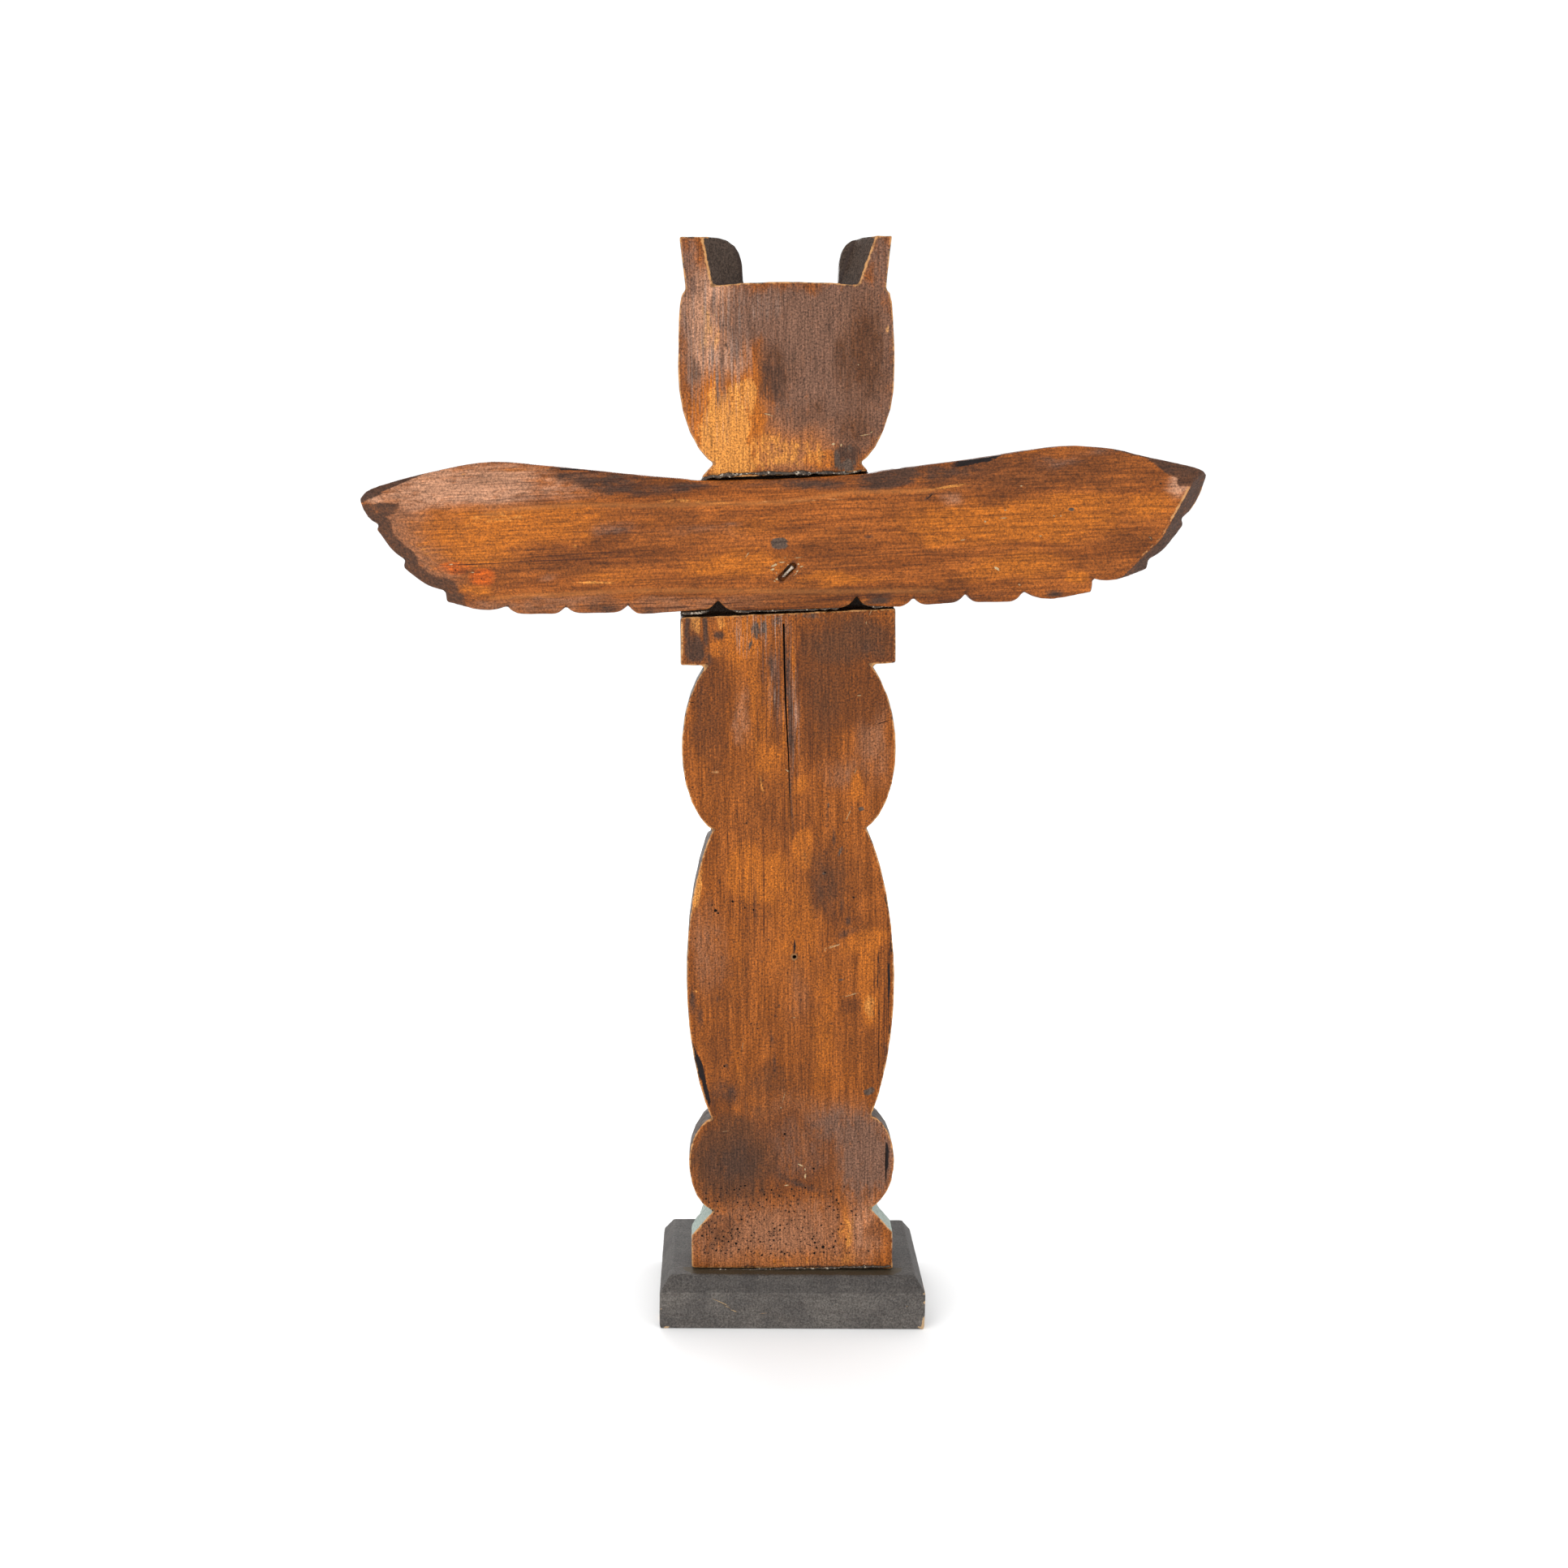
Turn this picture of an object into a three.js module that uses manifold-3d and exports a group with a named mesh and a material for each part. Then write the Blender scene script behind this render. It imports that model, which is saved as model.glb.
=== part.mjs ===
// A carved wooden totem pole, about two thirds of a metre tall: a winged bird with upright ears
// perched on a seated bear, flat-backed and half round in front. The pole is one block of wood.
// One board makes both wings and is let into a slot across the pole's flat back.
// The pole stands, leaning a little, on a painted plinth with chamfered top edges.
//
// Millimetres. +Z is up, the carved side faces -Y, and the origin is the centre of the plinth's underside.
import * as THREE from 'three';
import { mergeVertices } from 'three/addons/utils/BufferGeometryUtils.js';
import Module from 'manifold-3d';

const wasm = await Module();
wasm.setup();

// Driving dimensions of the plinth
const PLINTH_WIDTH = 163;
const PLINTH_DEPTH = 102;
const PLINTH_HEIGHT = 32;
const CHAMFER_ACROSS = 6.4;
const CHAMFER_DOWN = 9.2;

// Driving dimensions of the pole, in its own frame: x across, z up from the plinth's top,
// and depth measured forwards from the flat back
const POLE_HALF_WIDTH = 63;
const FRONT_DEPTH = 58;
const BEAK_DEPTH = 76;
const SIDE_WALL = 18;
const POLE_TO_PLINTH_BACK = 15;
const POLE_LEAN = THREE.MathUtils.degToRad(1.5);
const SEAT_GAP = 0.3;

// Heights of the carved parts of the pole, from the feet to the ears
const FOOT_HEIGHT = 39;
const KNEE_HEIGHT = 59;
const BODY_HEIGHT = 179;
const BEAR_HEAD_HEIGHT = 97.5;
const TAIL_HEIGHT = 40.5;
const BREAST_HEIGHT = 69.5;
const NECK_HEIGHT = 7;
const BIRD_HEAD_HEIGHT = 97;
const DOME_RISE = 4.5;
const EAR_RISE = 25;

// Each part stands on the one below it and lies between two notches, given with the half width left there
const FOOT_HALF_WIDTH = 62.2;
const FOOT_SIDE_TOP = 23;
const ANKLE = { z: FOOT_HEIGHT, half: 48.5 };
const WAIST = { z: ANKLE.z + KNEE_HEIGHT, half: 48.5 };
const CHIN = { z: WAIST.z + BODY_HEIGHT, half: 45.5 };
const CROWN = { z: CHIN.z + BEAR_HEAD_HEIGHT, half: 48 };
const TAIL_TOP = CROWN.z + TAIL_HEIGHT;
const COLLAR = { z: TAIL_TOP + BREAST_HEIGHT, half: 49 };
const NECK = { z: COLLAR.z + NECK_HEIGHT, half: 42.5 };
const EAR_FOOT = { z: NECK.z + BIRD_HEAD_HEIGHT, half: 57 };
const HEAD_TOP = EAR_FOOT.z + DOME_RISE;
const EAR_TOP = HEAD_TOP + EAR_RISE;
const EAR_DEPTH = 27;

// Driving dimensions of the wing board, in its own frame: x across, z up from its middle
const WING_HALF_SPAN = 244.5;
const WING_THICK = 19;
const WING_PROUD = 6.5;
const WING_TILT = THREE.MathUtils.degToRad(1.9);
const WING_BELOW_COLLAR = 39.5;
const WING_MIDDLE = COLLAR.z - WING_BELOW_COLLAR;
const SLOT_TOP = 39.4;
const SLOT_BOTTOM = -39.6;
const COVERT_STEP = 2.6;

// Small hardware and holes
const NAIL_RADIUS = 1.1;
const NAIL_LENGTH = 22;
const NAIL_HEAD = { x: -2.3, z: -12.7 };
const PEG_HOLE = { x: -2.4, z: 198.8, radius: 1.1, deep: 9 };

// A length past every edge, for cuts that run right through
const FAR = 400;
const ROUND_STEPS = 24;

const MATERIALS = {
  stained: new THREE.MeshStandardMaterial({ color: 0x8a4a1d, roughness: 0.5, metalness: 0 }),
  black: new THREE.MeshStandardMaterial({ color: 0x3b3836, roughness: 0.7, metalness: 0 }),
  steel: new THREE.MeshStandardMaterial({ color: 0x6e6a66, roughness: 0.5, metalness: 0.9 }),
};

// Solids and meshes
function solid(geometry) {
  const bare = geometry.clone();
  bare.deleteAttribute('normal');
  bare.deleteAttribute('uv');
  const merged = mergeVertices(bare, 1e-4);
  return new wasm.Manifold(new wasm.Mesh({
    numProp: 3,
    vertProperties: new Float32Array(merged.attributes.position.array),
    triVerts: new Uint32Array(merged.index.array),
  }));
}

function meshOf(name, manifold, material) {
  const data = manifold.getMesh();
  const geometry = new THREE.BufferGeometry();
  geometry.setAttribute('position', new THREE.BufferAttribute(new Float32Array(data.vertProperties), 3));
  geometry.setIndex(new THREE.BufferAttribute(new Uint32Array(data.triVerts), 1));
  geometry.computeVertexNormals();
  const mesh = new THREE.Mesh(geometry, material);
  mesh.name = name;
  return mesh;
}

const joined = (solids) => solids.reduce((all, one) => all.add(one));

// An outline drawn in x and z, made solid between two depths in front of the back plane
function plate(shape, from, to, curveSegments = 4) {
  const geometry = new THREE.ExtrudeGeometry(shape, { depth: to - from, bevelEnabled: false, curveSegments });
  geometry.rotateX(Math.PI / 2);
  geometry.translate(0, -from, 0);
  return solid(geometry);
}

// An outline drawn in depth and z, made solid across x
function sideBlock(shape, width, curveSegments = 5) {
  const geometry = new THREE.ExtrudeGeometry(shape, { depth: width, bevelEnabled: false, curveSegments });
  geometry.translate(0, 0, -width / 2);
  geometry.applyMatrix4(new THREE.Matrix4().makeBasis(
    new THREE.Vector3(0, -1, 0), new THREE.Vector3(0, 0, 1), new THREE.Vector3(-1, 0, 0)));
  return solid(geometry);
}

// An outline drawn in x and depth, made solid upwards
function upright(points, low, high, shear = 0) {
  const shape = polygon(points.map(([x, depth]) => [x, -depth]));
  const geometry = new THREE.ExtrudeGeometry(shape, { depth: high - low, bevelEnabled: false });
  geometry.applyMatrix4(new THREE.Matrix4().makeShear(0, 0, 0, 0, shear, 0));
  geometry.translate(0, 0, low);
  return solid(geometry);
}

function box(low, high) {
  const size = high.map((value, axis) => value - low[axis]);
  const geometry = new THREE.BoxGeometry(...size);
  geometry.translate(...low.map((value, axis) => value + size[axis] / 2));
  return solid(geometry);
}

function ellipsoid(x, depth, z, radii, steps = 16) {
  const geometry = new THREE.SphereGeometry(1, steps, Math.round(steps * 0.6));
  geometry.rotateX(Math.PI / 2);
  geometry.scale(...radii);
  geometry.translate(x, -depth, z);
  return solid(geometry);
}

// A closed outline through the given points, turned if needed so that it runs anticlockwise
function polygon(points) {
  const corners = points.map(([a, b]) => new THREE.Vector2(a, b));
  return new THREE.Shape(THREE.ShapeUtils.isClockWise(corners) ? corners.reverse() : corners);
}

function oval(x, z, radiusX, radiusZ) {
  const shape = new THREE.Shape();
  shape.absellipse(x, z, radiusX, radiusZ, 0, 2 * Math.PI, false);
  return shape;
}

// A band along a smooth line through the given points, with square ends
function band(points, widthAt, steps = 9) {
  const line = new THREE.SplineCurve(points.map(([a, b]) => new THREE.Vector2(a, b)));
  const left = [];
  const right = [];
  for (let i = 0; i <= steps; i += 1) {
    const at = line.getPoint(i / steps);
    const along = line.getTangent(i / steps);
    const half = widthAt(i / steps) / 2;
    left.push([at.x - along.y * half, at.y + along.x * half]);
    right.unshift([at.x + along.y * half, at.y - along.x * half]);
  }
  return polygon([...left, ...right]);
}

function bothSides(shape) {
  const points = shape.getPoints(5);
  return [shape, polygon(points.map(({ x, y }) => [-x, y]))];
}

// A four-sided bar whose edge cuts a V groove, between two points given as [x, depth, z]
function grooveBar(from, to, radius) {
  const start = new THREE.Vector3(from[0], -from[1], from[2]);
  const end = new THREE.Vector3(to[0], -to[1], to[2]);
  const along = end.clone().sub(start);
  const geometry = new THREE.CylinderGeometry(radius, radius, along.length(), 4);
  const turn = new THREE.Quaternion().setFromUnitVectors(new THREE.Vector3(0, 1, 0), along.clone().normalize());
  geometry.applyQuaternion(turn);
  geometry.translate(...start.add(end).multiplyScalar(0.5).toArray());
  return solid(geometry);
}

// The pole's outline, as half widths at rising heights
// A figure swells from the notch below it to its widest height, and back to the notch above it
// A smaller power at an end keeps the figure fuller there
function swell(low, high, widestShare, half, [lowPower, highPower], steps = 6) {
  const widest = low.z + widestShare * (high.z - low.z);
  const row = (end, power, turn) => {
    const away = Math.sin(turn * Math.PI / 2) ** 1.25;
    return [widest + (end.z - widest) * away, end.half + (half - end.half) * (1 - away ** 2.1) ** power];
  };
  const rows = [];
  for (let i = steps; i >= 0; i -= 1) rows.push(row(low, lowPower, i / steps));
  for (let i = 1; i <= steps; i += 1) rows.push(row(high, highPower, i / steps));
  return rows;
}

const FOOT_SPARE = 4;
const footRows = [[-FOOT_SPARE, FOOT_HALF_WIDTH], [FOOT_SIDE_TOP, FOOT_HALF_WIDTH]];
const kneeRows = swell(ANKLE, WAIST, 0.5, POLE_HALF_WIDTH, [0.66, 0.6]);
const bodyRows = swell(WAIST, CHIN, 0.48, POLE_HALF_WIDTH - 0.3, [0.88, 0.86], 7).slice(1);
const bearHeadRows = swell(CHIN, CROWN, 0.48, POLE_HALF_WIDTH + 0.3, [0.7, 0.8]).slice(1);
const tailRows = [[CROWN.z + 0.5, POLE_HALF_WIDTH + 0.2], [TAIL_TOP, POLE_HALF_WIDTH]];
const breastRows = [0.3, 0.6, 0.8, 1].map((share) => [
  TAIL_TOP + (COLLAR.z - TAIL_TOP) * share,
  POLE_HALF_WIDTH + (COLLAR.half - POLE_HALF_WIDTH) * share ** 2.4,
]);
const birdHeadRows = swell(NECK, EAR_FOOT, 0.52, POLE_HALF_WIDTH - 1, [0.74, 0.34]);
const crownRows = [[HEAD_TOP - 2.2, 44], [HEAD_TOP - 0.6, 24], [HEAD_TOP, 8]];
const outlineRows = [
  ...footRows, ...kneeRows, ...bodyRows, ...bearHeadRows, ...tailRows, ...breastRows, ...birdHeadRows,
  ...crownRows,
];

// The block as sawn to that outline, right through from back to front
function sawnBlock(depth) {
  const right = outlineRows.map(([z, half]) => [half, z]);
  const left = right.map(([x, z]) => [-x, z]).reverse();
  return plate(polygon([...right, ...left]), 0, depth);
}

// The front is half round: the outline turned about an upright axis, and flattened in depth
const fronts = new Map();
function roundFront(proud) {
  if (fronts.has(proud)) return fronts.get(proud);
  const points = outlineRows.map(([z, half]) => new THREE.Vector2(half + proud, z));
  const first = new THREE.Vector2(0, outlineRows[0][0]);
  const last = new THREE.Vector2(0, HEAD_TOP + 0.1);
  const geometry = new THREE.LatheGeometry([first, ...points, last], ROUND_STEPS);
  geometry.rotateX(Math.PI / 2);
  geometry.scale(1, (FRONT_DEPTH - SIDE_WALL + proud) / (POLE_HALF_WIDTH + proud), 1);
  geometry.translate(0, -SIDE_WALL, 0);
  fronts.set(proud, solid(geometry));
  return fronts.get(proud);
}

// Carving that follows the half round front: a shape that stands proud of it, or is sunk in it
const raised = (shape, proud, curveSegments = 4) => plate(shape, SIDE_WALL - 4, FAR, curveSegments)
  .intersect(roundFront(proud));
const sunk = (shape, deep, curveSegments = 4) => plate(shape, SIDE_WALL + 4, FAR, curveSegments)
  .subtract(roundFront(-deep));

// The depth of the half round front at a distance from its middle line
const frontDepthAt = (x) => SIDE_WALL + (FRONT_DEPTH - SIDE_WALL) * Math.sqrt(1 - (x / POLE_HALF_WIDTH) ** 2);

// Places on a figure: across as shares of the pole's half width, up as shares of the figure's height
function figure(low, high) {
  const height = high - low;
  return {
    x: (share) => share * POLE_HALF_WIDTH,
    z: (share) => low + share * height,
    size: (share) => share * height,
    at: (points) => points.map(([across, up]) => [across * POLE_HALF_WIDTH, low + up * height]),
  };
}

// A round eye: a sunken socket, a ball that rises in it, and a pupil on the ball
function eyes(place, across, up, radius) {
  const x = place.x(across);
  const z = place.z(up);
  return {
    sunk: bothSides(oval(x, z, radius, radius * 0.73)).map((shape) => sunk(shape, 3.5)),
    raised: [
      ...bothSides(oval(x, z, radius * 0.7, radius * 0.53)).map((shape) => raised(shape, 0.9)),
      ...bothSides(oval(x, z, radius * 0.3, radius * 0.3)).map((shape) => raised(shape, 2.4)),
    ],
  };
}

// Ears: square outside, round at the inner top corner, cut back behind on the inner side, hollow in front
function ear({ side, inner, flatTop, stripFoot, stripLean }) {
  const outer = POLE_HALF_WIDTH - 2.7;
  const corner = flatTop - inner;
  const foot = EAR_FOOT.z - 6;
  const shape = new THREE.Shape();
  shape.moveTo(side * (EAR_FOOT.half - 0.4), foot);
  shape.lineTo(side * (EAR_FOOT.half + 0.4), EAR_FOOT.z + 3);
  shape.lineTo(side * outer, EAR_TOP);
  shape.lineTo(side * flatTop, EAR_TOP);
  shape.quadraticCurveTo(side * (inner + corner * 0.15), EAR_TOP - 0.5, side * inner, EAR_TOP - corner);
  shape.lineTo(side * (inner - 1), foot);
  const cutDepth = EAR_DEPTH * 0.6;
  const cutBack = upright(
    [[side * stripFoot, -1], [side * (inner - 1), cutDepth], [side * (inner - 12), cutDepth], [0, -1]],
    HEAD_TOP - 3.4, EAR_TOP + 10, side * stripLean);
  const hollow = oval(side * (inner + outer) / 2, EAR_TOP - 13.5, 9.5, 8.5);
  return plate(shape, 0, EAR_DEPTH)
    .subtract(cutBack)
    .subtract(plate(hollow, EAR_DEPTH - 3, EAR_DEPTH + 5));
}

const EAST_EAR = { side: 1, inner: 24.5, flatTop: 38, stripFoot: 43, stripLean: 0.19 };
const WEST_EAR = { side: -1, inner: 31, flatTop: 43, stripFoot: 41.5, stripLean: 0.36 };

// The bird's head: brows, round eyes, a wide mouth and a hooked beak
function birdFace() {
  const head = figure(NECK.z, HEAD_TOP);
  const brow = band(
    head.at([[0.08, 0.66], [0.25, 0.78], [0.54, 0.82], [0.83, 0.71]]),
    (share) => head.size(0.094 - 0.04 * share));
  const mouth = band(head.at([[0.1, 0.31], [0.38, 0.27], [0.7, 0.34]]), () => head.size(0.045), 6);
  const lowerBeak = oval(0, head.z(0.17), head.size(0.13), head.size(0.09));

  const tip = BEAK_DEPTH;
  const profile = new THREE.Shape();
  profile.moveTo(tip - 32, head.z(0.77));
  profile.quadraticCurveTo(tip - 14, head.z(0.78), tip - 6, head.z(0.65));
  profile.quadraticCurveTo(tip, head.z(0.57), tip, head.z(0.44));
  profile.quadraticCurveTo(tip - 1, head.z(0.32), tip - 6, head.z(0.23));
  profile.quadraticCurveTo(tip - 8, head.z(0.34), tip - 16, head.z(0.36));
  profile.lineTo(tip - 32, head.z(0.34));
  const bridge = new THREE.Shape();
  bridge.moveTo(-7, head.z(0.82));
  bridge.quadraticCurveTo(-15, head.z(0.63), -13, head.z(0.48));
  bridge.quadraticCurveTo(-11, head.z(0.28), 0, head.z(0.2));
  bridge.quadraticCurveTo(11, head.z(0.28), 13, head.z(0.48));
  bridge.quadraticCurveTo(15, head.z(0.63), 7, head.z(0.82));
  const keel = [[-16, tip - 36], [-14, tip - 16], [-9, tip - 6], [-4, tip + 1]];
  const plan = [...keel, ...keel.map(([x, depth]) => [-x, depth]).reverse()];
  const beak = sideBlock(profile, 34)
    .intersect(plate(bridge, SIDE_WALL, FAR))
    .intersect(upright(plan, NECK.z, HEAD_TOP));

  const round = eyes(head, 0.45, 0.6, 15);
  return {
    sunk: [...round.sunk, ...bothSides(mouth).map((shape) => sunk(shape, 2.5))],
    raised: [...bothSides(brow).map((shape) => raised(shape, 5)), ...round.raised, raised(lowerBeak, 6), beak],
  };
}

// Rows of breast feathers: each row has a scalloped lower edge, and stands over the row below
function breastFeathers() {
  const breast = figure(TAIL_TOP, COLLAR.z);
  const rows = [
    { foot: 0.71, count: 3, half: 0.57, proud: 5.4 },
    { foot: 0.43, count: 4, half: 0.76, proud: 3.6 },
    { foot: 0.16, count: 5, half: 0.92, proud: 1.8 },
  ];
  return rows.map(({ foot, count, half, proud }) => {
    const shape = new THREE.Shape();
    const edge = breast.x(half);
    const pitch = (2 * edge) / count;
    const z = breast.z(foot + 0.09);
    shape.moveTo(-edge, z);
    for (let i = 0; i < count; i += 1) {
      const from = -edge + i * pitch;
      scallop(shape, [from, z], [from + pitch, z], breast.size(0.115), [pitch * 0.42, pitch * 0.42]);
    }
    shape.lineTo(edge - 8, COLLAR.z - 2);
    shape.lineTo(-edge + 8, COLLAR.z - 2);
    return raised(shape, proud, 4);
  });
}

function tailGrooves() {
  return [-0.7, -0.35, 0, 0.35, 0.7].map((share) => {
    const x = share * POLE_HALF_WIDTH;
    const depth = frontDepthAt(x) + 0.6;
    return grooveBar([x, depth, CROWN.z - 2], [x, depth, TAIL_TOP - 4], 3.4);
  });
}

// The bear's head: small ears, brows, eyes, a broad muzzle and a wide mouth with teeth
function bearFace() {
  const head = figure(CHIN.z, CROWN.z);
  const brow = band(
    head.at([[0.13, 0.65], [0.29, 0.78], [0.54, 0.8], [0.79, 0.7]]),
    (share) => head.size(0.092 - 0.036 * share));
  const smallEar = oval(head.x(0.7), head.z(0.89), head.size(0.09), head.size(0.075));
  const [left, right] = head.at([[-0.67, 0.2], [0.67, 0.2]]);
  const mouth = new THREE.Shape();
  mouth.moveTo(left[0], head.z(0.27));
  mouth.quadraticCurveTo(0, head.z(0.21), right[0], head.z(0.27));
  mouth.quadraticCurveTo(right[0] + 4, head.z(0.2), right[0] - 4, head.z(0.13));
  mouth.quadraticCurveTo(0, head.z(0.06), left[0] + 4, head.z(0.13));
  mouth.quadraticCurveTo(left[0] - 4, head.z(0.2), left[0], head.z(0.27));
  const teeth = [];
  const pitch = head.x(0.167);
  for (let i = -3; i <= 3; i += 1) {
    const x = i * pitch;
    const z = head.z(0.175) + 0.002 * x * x;
    const [halfWidth, halfHeight] = [pitch * 0.42, head.size(0.095)];
    const tooth = polygon([
      [x - halfWidth, z - halfHeight], [x + halfWidth, z - halfHeight],
      [x + halfWidth, z + halfHeight], [x - halfWidth, z + halfHeight],
    ]);
    teeth.push(raised(tooth, -1.2, 2));
  }
  const muzzle = ellipsoid(0, FRONT_DEPTH - 8, head.z(0.41), [25, 23, head.size(0.155)]);
  const nose = ellipsoid(0, FRONT_DEPTH + 10, head.z(0.5), [9, 8, head.size(0.06)], 12);
  const round = eyes(head, 0.46, 0.6, 14.5);
  return {
    sunk: [...round.sunk, sunk(mouth, 4.2)],
    raised: [
      ...bothSides(brow).map((shape) => raised(shape, 5)),
      ...bothSides(smallEar).map((shape) => raised(shape, 4)),
      ...round.raised,
      ...teeth,
      muzzle,
      nose,
    ],
  };
}

// The bear's arms fold over its belly, each ending in a paw with four toes
function arms() {
  const body = figure(WAIST.z, CHIN.z);
  const arm = band(
    body.at([[0.78, 0.96], [0.86, 0.74], [0.82, 0.5], [0.63, 0.38], [0.42, 0.46], [0.3, 0.57]]),
    (share) => body.size(0.108 - 0.02 * share), 12);
  const paw = oval(body.x(0.28), body.z(0.61), body.size(0.084), body.size(0.067));
  const toes = [0, 1, 2, 3].map((i) => {
    const x = body.x(0.11) + i * body.size(0.039);
    const z = body.z(0.68) - 0.35 * i * i;
    const long = body.size(0.045);
    return band([[x, z - long], [x + 0.6, z + long]], (share) => body.size(0.035 - 0.014 * share), 3);
  });
  return [
    ...bothSides(arm).map((shape) => raised(shape, 7)),
    ...bothSides(paw).map((shape) => raised(shape, 9)),
    ...toes.flatMap(bothSides).map((shape) => raised(shape, 7.5, 3)),
  ];
}

// Two round knees with a cleft between them, above two feet that slope to the toes
function legs() {
  const knee = figure(ANKLE.z, WAIST.z);
  const radii = [knee.size(0.5), FRONT_DEPTH / 2, knee.size(0.48)];
  const knees = [-1, 1].map((side) => ellipsoid(side * knee.x(0.51), FRONT_DEPTH - 18, knee.z(0.51), radii));
  const foot = figure(0, ANKLE.z);
  const toe = BEAK_DEPTH;
  const profile = new THREE.Shape();
  profile.moveTo(10, -FOOT_SPARE);
  profile.lineTo(10, foot.z(1.08));
  profile.lineTo(36, foot.z(1.1));
  profile.quadraticCurveTo(FRONT_DEPTH, foot.z(0.92), toe - 6, foot.z(0.62));
  profile.quadraticCurveTo(toe, foot.z(0.46), toe, foot.z(0.2));
  profile.lineTo(toe - 1, -FOOT_SPARE);
  const front = new THREE.Shape();
  front.moveTo(2.5, -FOOT_SPARE);
  front.lineTo(2.5, foot.z(0.77));
  front.quadraticCurveTo(5, foot.z(1.05), 22, foot.z(1.05));
  front.quadraticCurveTo(50, foot.z(1), FOOT_HALF_WIDTH, foot.z(0.3));
  front.lineTo(FOOT_HALF_WIDTH, -FOOT_SPARE);
  const steps = 9;
  const plan = [[0, 10], [FOOT_HALF_WIDTH, 10]];
  for (let i = 0; i <= steps; i += 1) {
    const turn = (i / steps) * Math.PI / 2;
    const across = Math.cos(turn) ** 0.75 * FOOT_HALF_WIDTH;
    plan.push([across, SIDE_WALL + (toe - SIDE_WALL + 2) * Math.sin(turn) ** 0.9]);
  }
  return [
    ...knees,
    ...bothSides(front).map((shape, i) => plate(shape, 10, FAR)
      .intersect(sideBlock(profile, 2 * FAR))
      .intersect(upright(plan.map(([x, depth]) => [i === 0 ? x : -x, depth]), -FOOT_SPARE, 2 * ANKLE.z))),
  ];
}

function toeCuts() {
  const depth = BEAK_DEPTH + 4;
  return [-0.74, -0.51, -0.28, 0.28, 0.51, 0.74].map((share) => {
    const x = share * POLE_HALF_WIDTH;
    return upright([[x - 3, depth], [x + 3, depth], [x, depth - 20]], -FOOT_SPARE, ANKLE.z);
  });
}

// The slot for the wing board, square-cut across the back
function slotForWings() {
  const floor = WING_THICK - WING_PROUD + SEAT_GAP;
  const slot = new THREE.BoxGeometry(2 * FAR, 2 * floor, SLOT_TOP - SLOT_BOTTOM);
  slot.translate(0, 0, (SLOT_TOP + SLOT_BOTTOM) / 2);
  slot.rotateY(WING_TILT);
  slot.translate(0, 0, WING_MIDDLE);
  return solid(slot);
}

// The foot is cut parallel to the plinth's top, however the pole leans
function seatCut() {
  const below = new THREE.BoxGeometry(FAR, FAR, FAR);
  below.translate(0, 0, SEAT_GAP - FAR / 2);
  below.rotateY(-POLE_LEAN);
  return solid(below);
}

function pole() {
  const bird = birdFace();
  const bear = bearFace();
  const cleftDepth = FRONT_DEPTH + 7;
  const cleft = grooveBar([0, cleftDepth, -10], [0, cleftDepth, WAIST.z - 8], 19);
  const pegHole = new THREE.CylinderGeometry(PEG_HOLE.radius, PEG_HOLE.radius, PEG_HOLE.deep * 2, 10);
  pegHole.translate(PEG_HOLE.x, 0, PEG_HOLE.z);
  return joined([sawnBlock(SIDE_WALL + 1), roundFront(0)])
    .subtract(cleft)
    .subtract(joined([...bird.sunk, ...bear.sunk, ...tailGrooves()]))
    .add(joined([...bird.raised, ...bear.raised, ...breastFeathers(), ...arms(), ...legs()]))
    .subtract(joined(toeCuts()))
    .intersect(sawnBlock(FAR))
    .add(ear(EAST_EAR))
    .add(ear(WEST_EAR))
    .subtract(slotForWings())
    .subtract(solid(pegHole))
    .subtract(seatCut());
}

// The wing board. A feather end between two notches has steep rounded sides and a flat bottom
function scallop(outline, from, to, depth, shoulders) {
  const start = new THREE.Vector2(...from);
  const end = new THREE.Vector2(...to);
  const along = end.clone().sub(start).normalize();
  const out = new THREE.Vector2(along.y, -along.x).multiplyScalar(depth);
  const first = start.clone().addScaledVector(along, shoulders[0]).add(out);
  const last = end.clone().addScaledVector(along, -shoulders[1]).add(out);
  const bendIn = start.clone().addScaledVector(along, shoulders[0] * 0.45).add(out);
  const bendOut = end.clone().addScaledVector(along, -shoulders[1] * 0.35).add(out);
  outline.quadraticCurveTo(bendIn.x, bendIn.y, first.x, first.y);
  outline.lineTo(last.x, last.y);
  outline.quadraticCurveTo(bendOut.x, bendOut.y, end.x, end.y);
}

// Each wing's notches run from the middle to the tip, with how far each feather hangs past them
// The two wings were cut by eye and differ
const WEST = {
  notches: [[-38.8, -30.9], [-71.7, -33.4], [-102.1, -32.1], [-135.7, -32.8], [-176, -26.7], [-209.7, -17.2],
    [-229.4, 5.4]],
  hangs: [6.2, 5.4, 6, 8, 5.6, 4.2],
  tipBend: [3 - WING_HALF_SPAN, 11],
  tip: [-WING_HALF_SPAN, 29.5],
  top: [[-238, 34.2], [-208.3, 42.1], [-188.5, 47.3], [-158.7, 49.8], [-107.5, 44.6], [-59.3, 40.4], [-46, 38.7]],
};
const EAST = {
  notches: [[41.8, -29.5], [94, -31], [129.8, -30.1], [163.3, -28.7], [199, -18.4], [221.4, 0], [234.4, 20.9]],
  hangs: [6.2, 4.6, 4.8, 6.6, 4.8, 3.4],
  tipBend: [WING_HALF_SPAN - 1.5, 23],
  tip: [WING_HALF_SPAN, 36],
  top: [[235.5, 42.2], [205, 49.4], [170, 54], [135.5, 50.4], [90.9, 44.2], [58.9, 40.1], [48, 38.7]],
};
const BOARD_TOP_MIDDLE = [0, 38];

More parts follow.
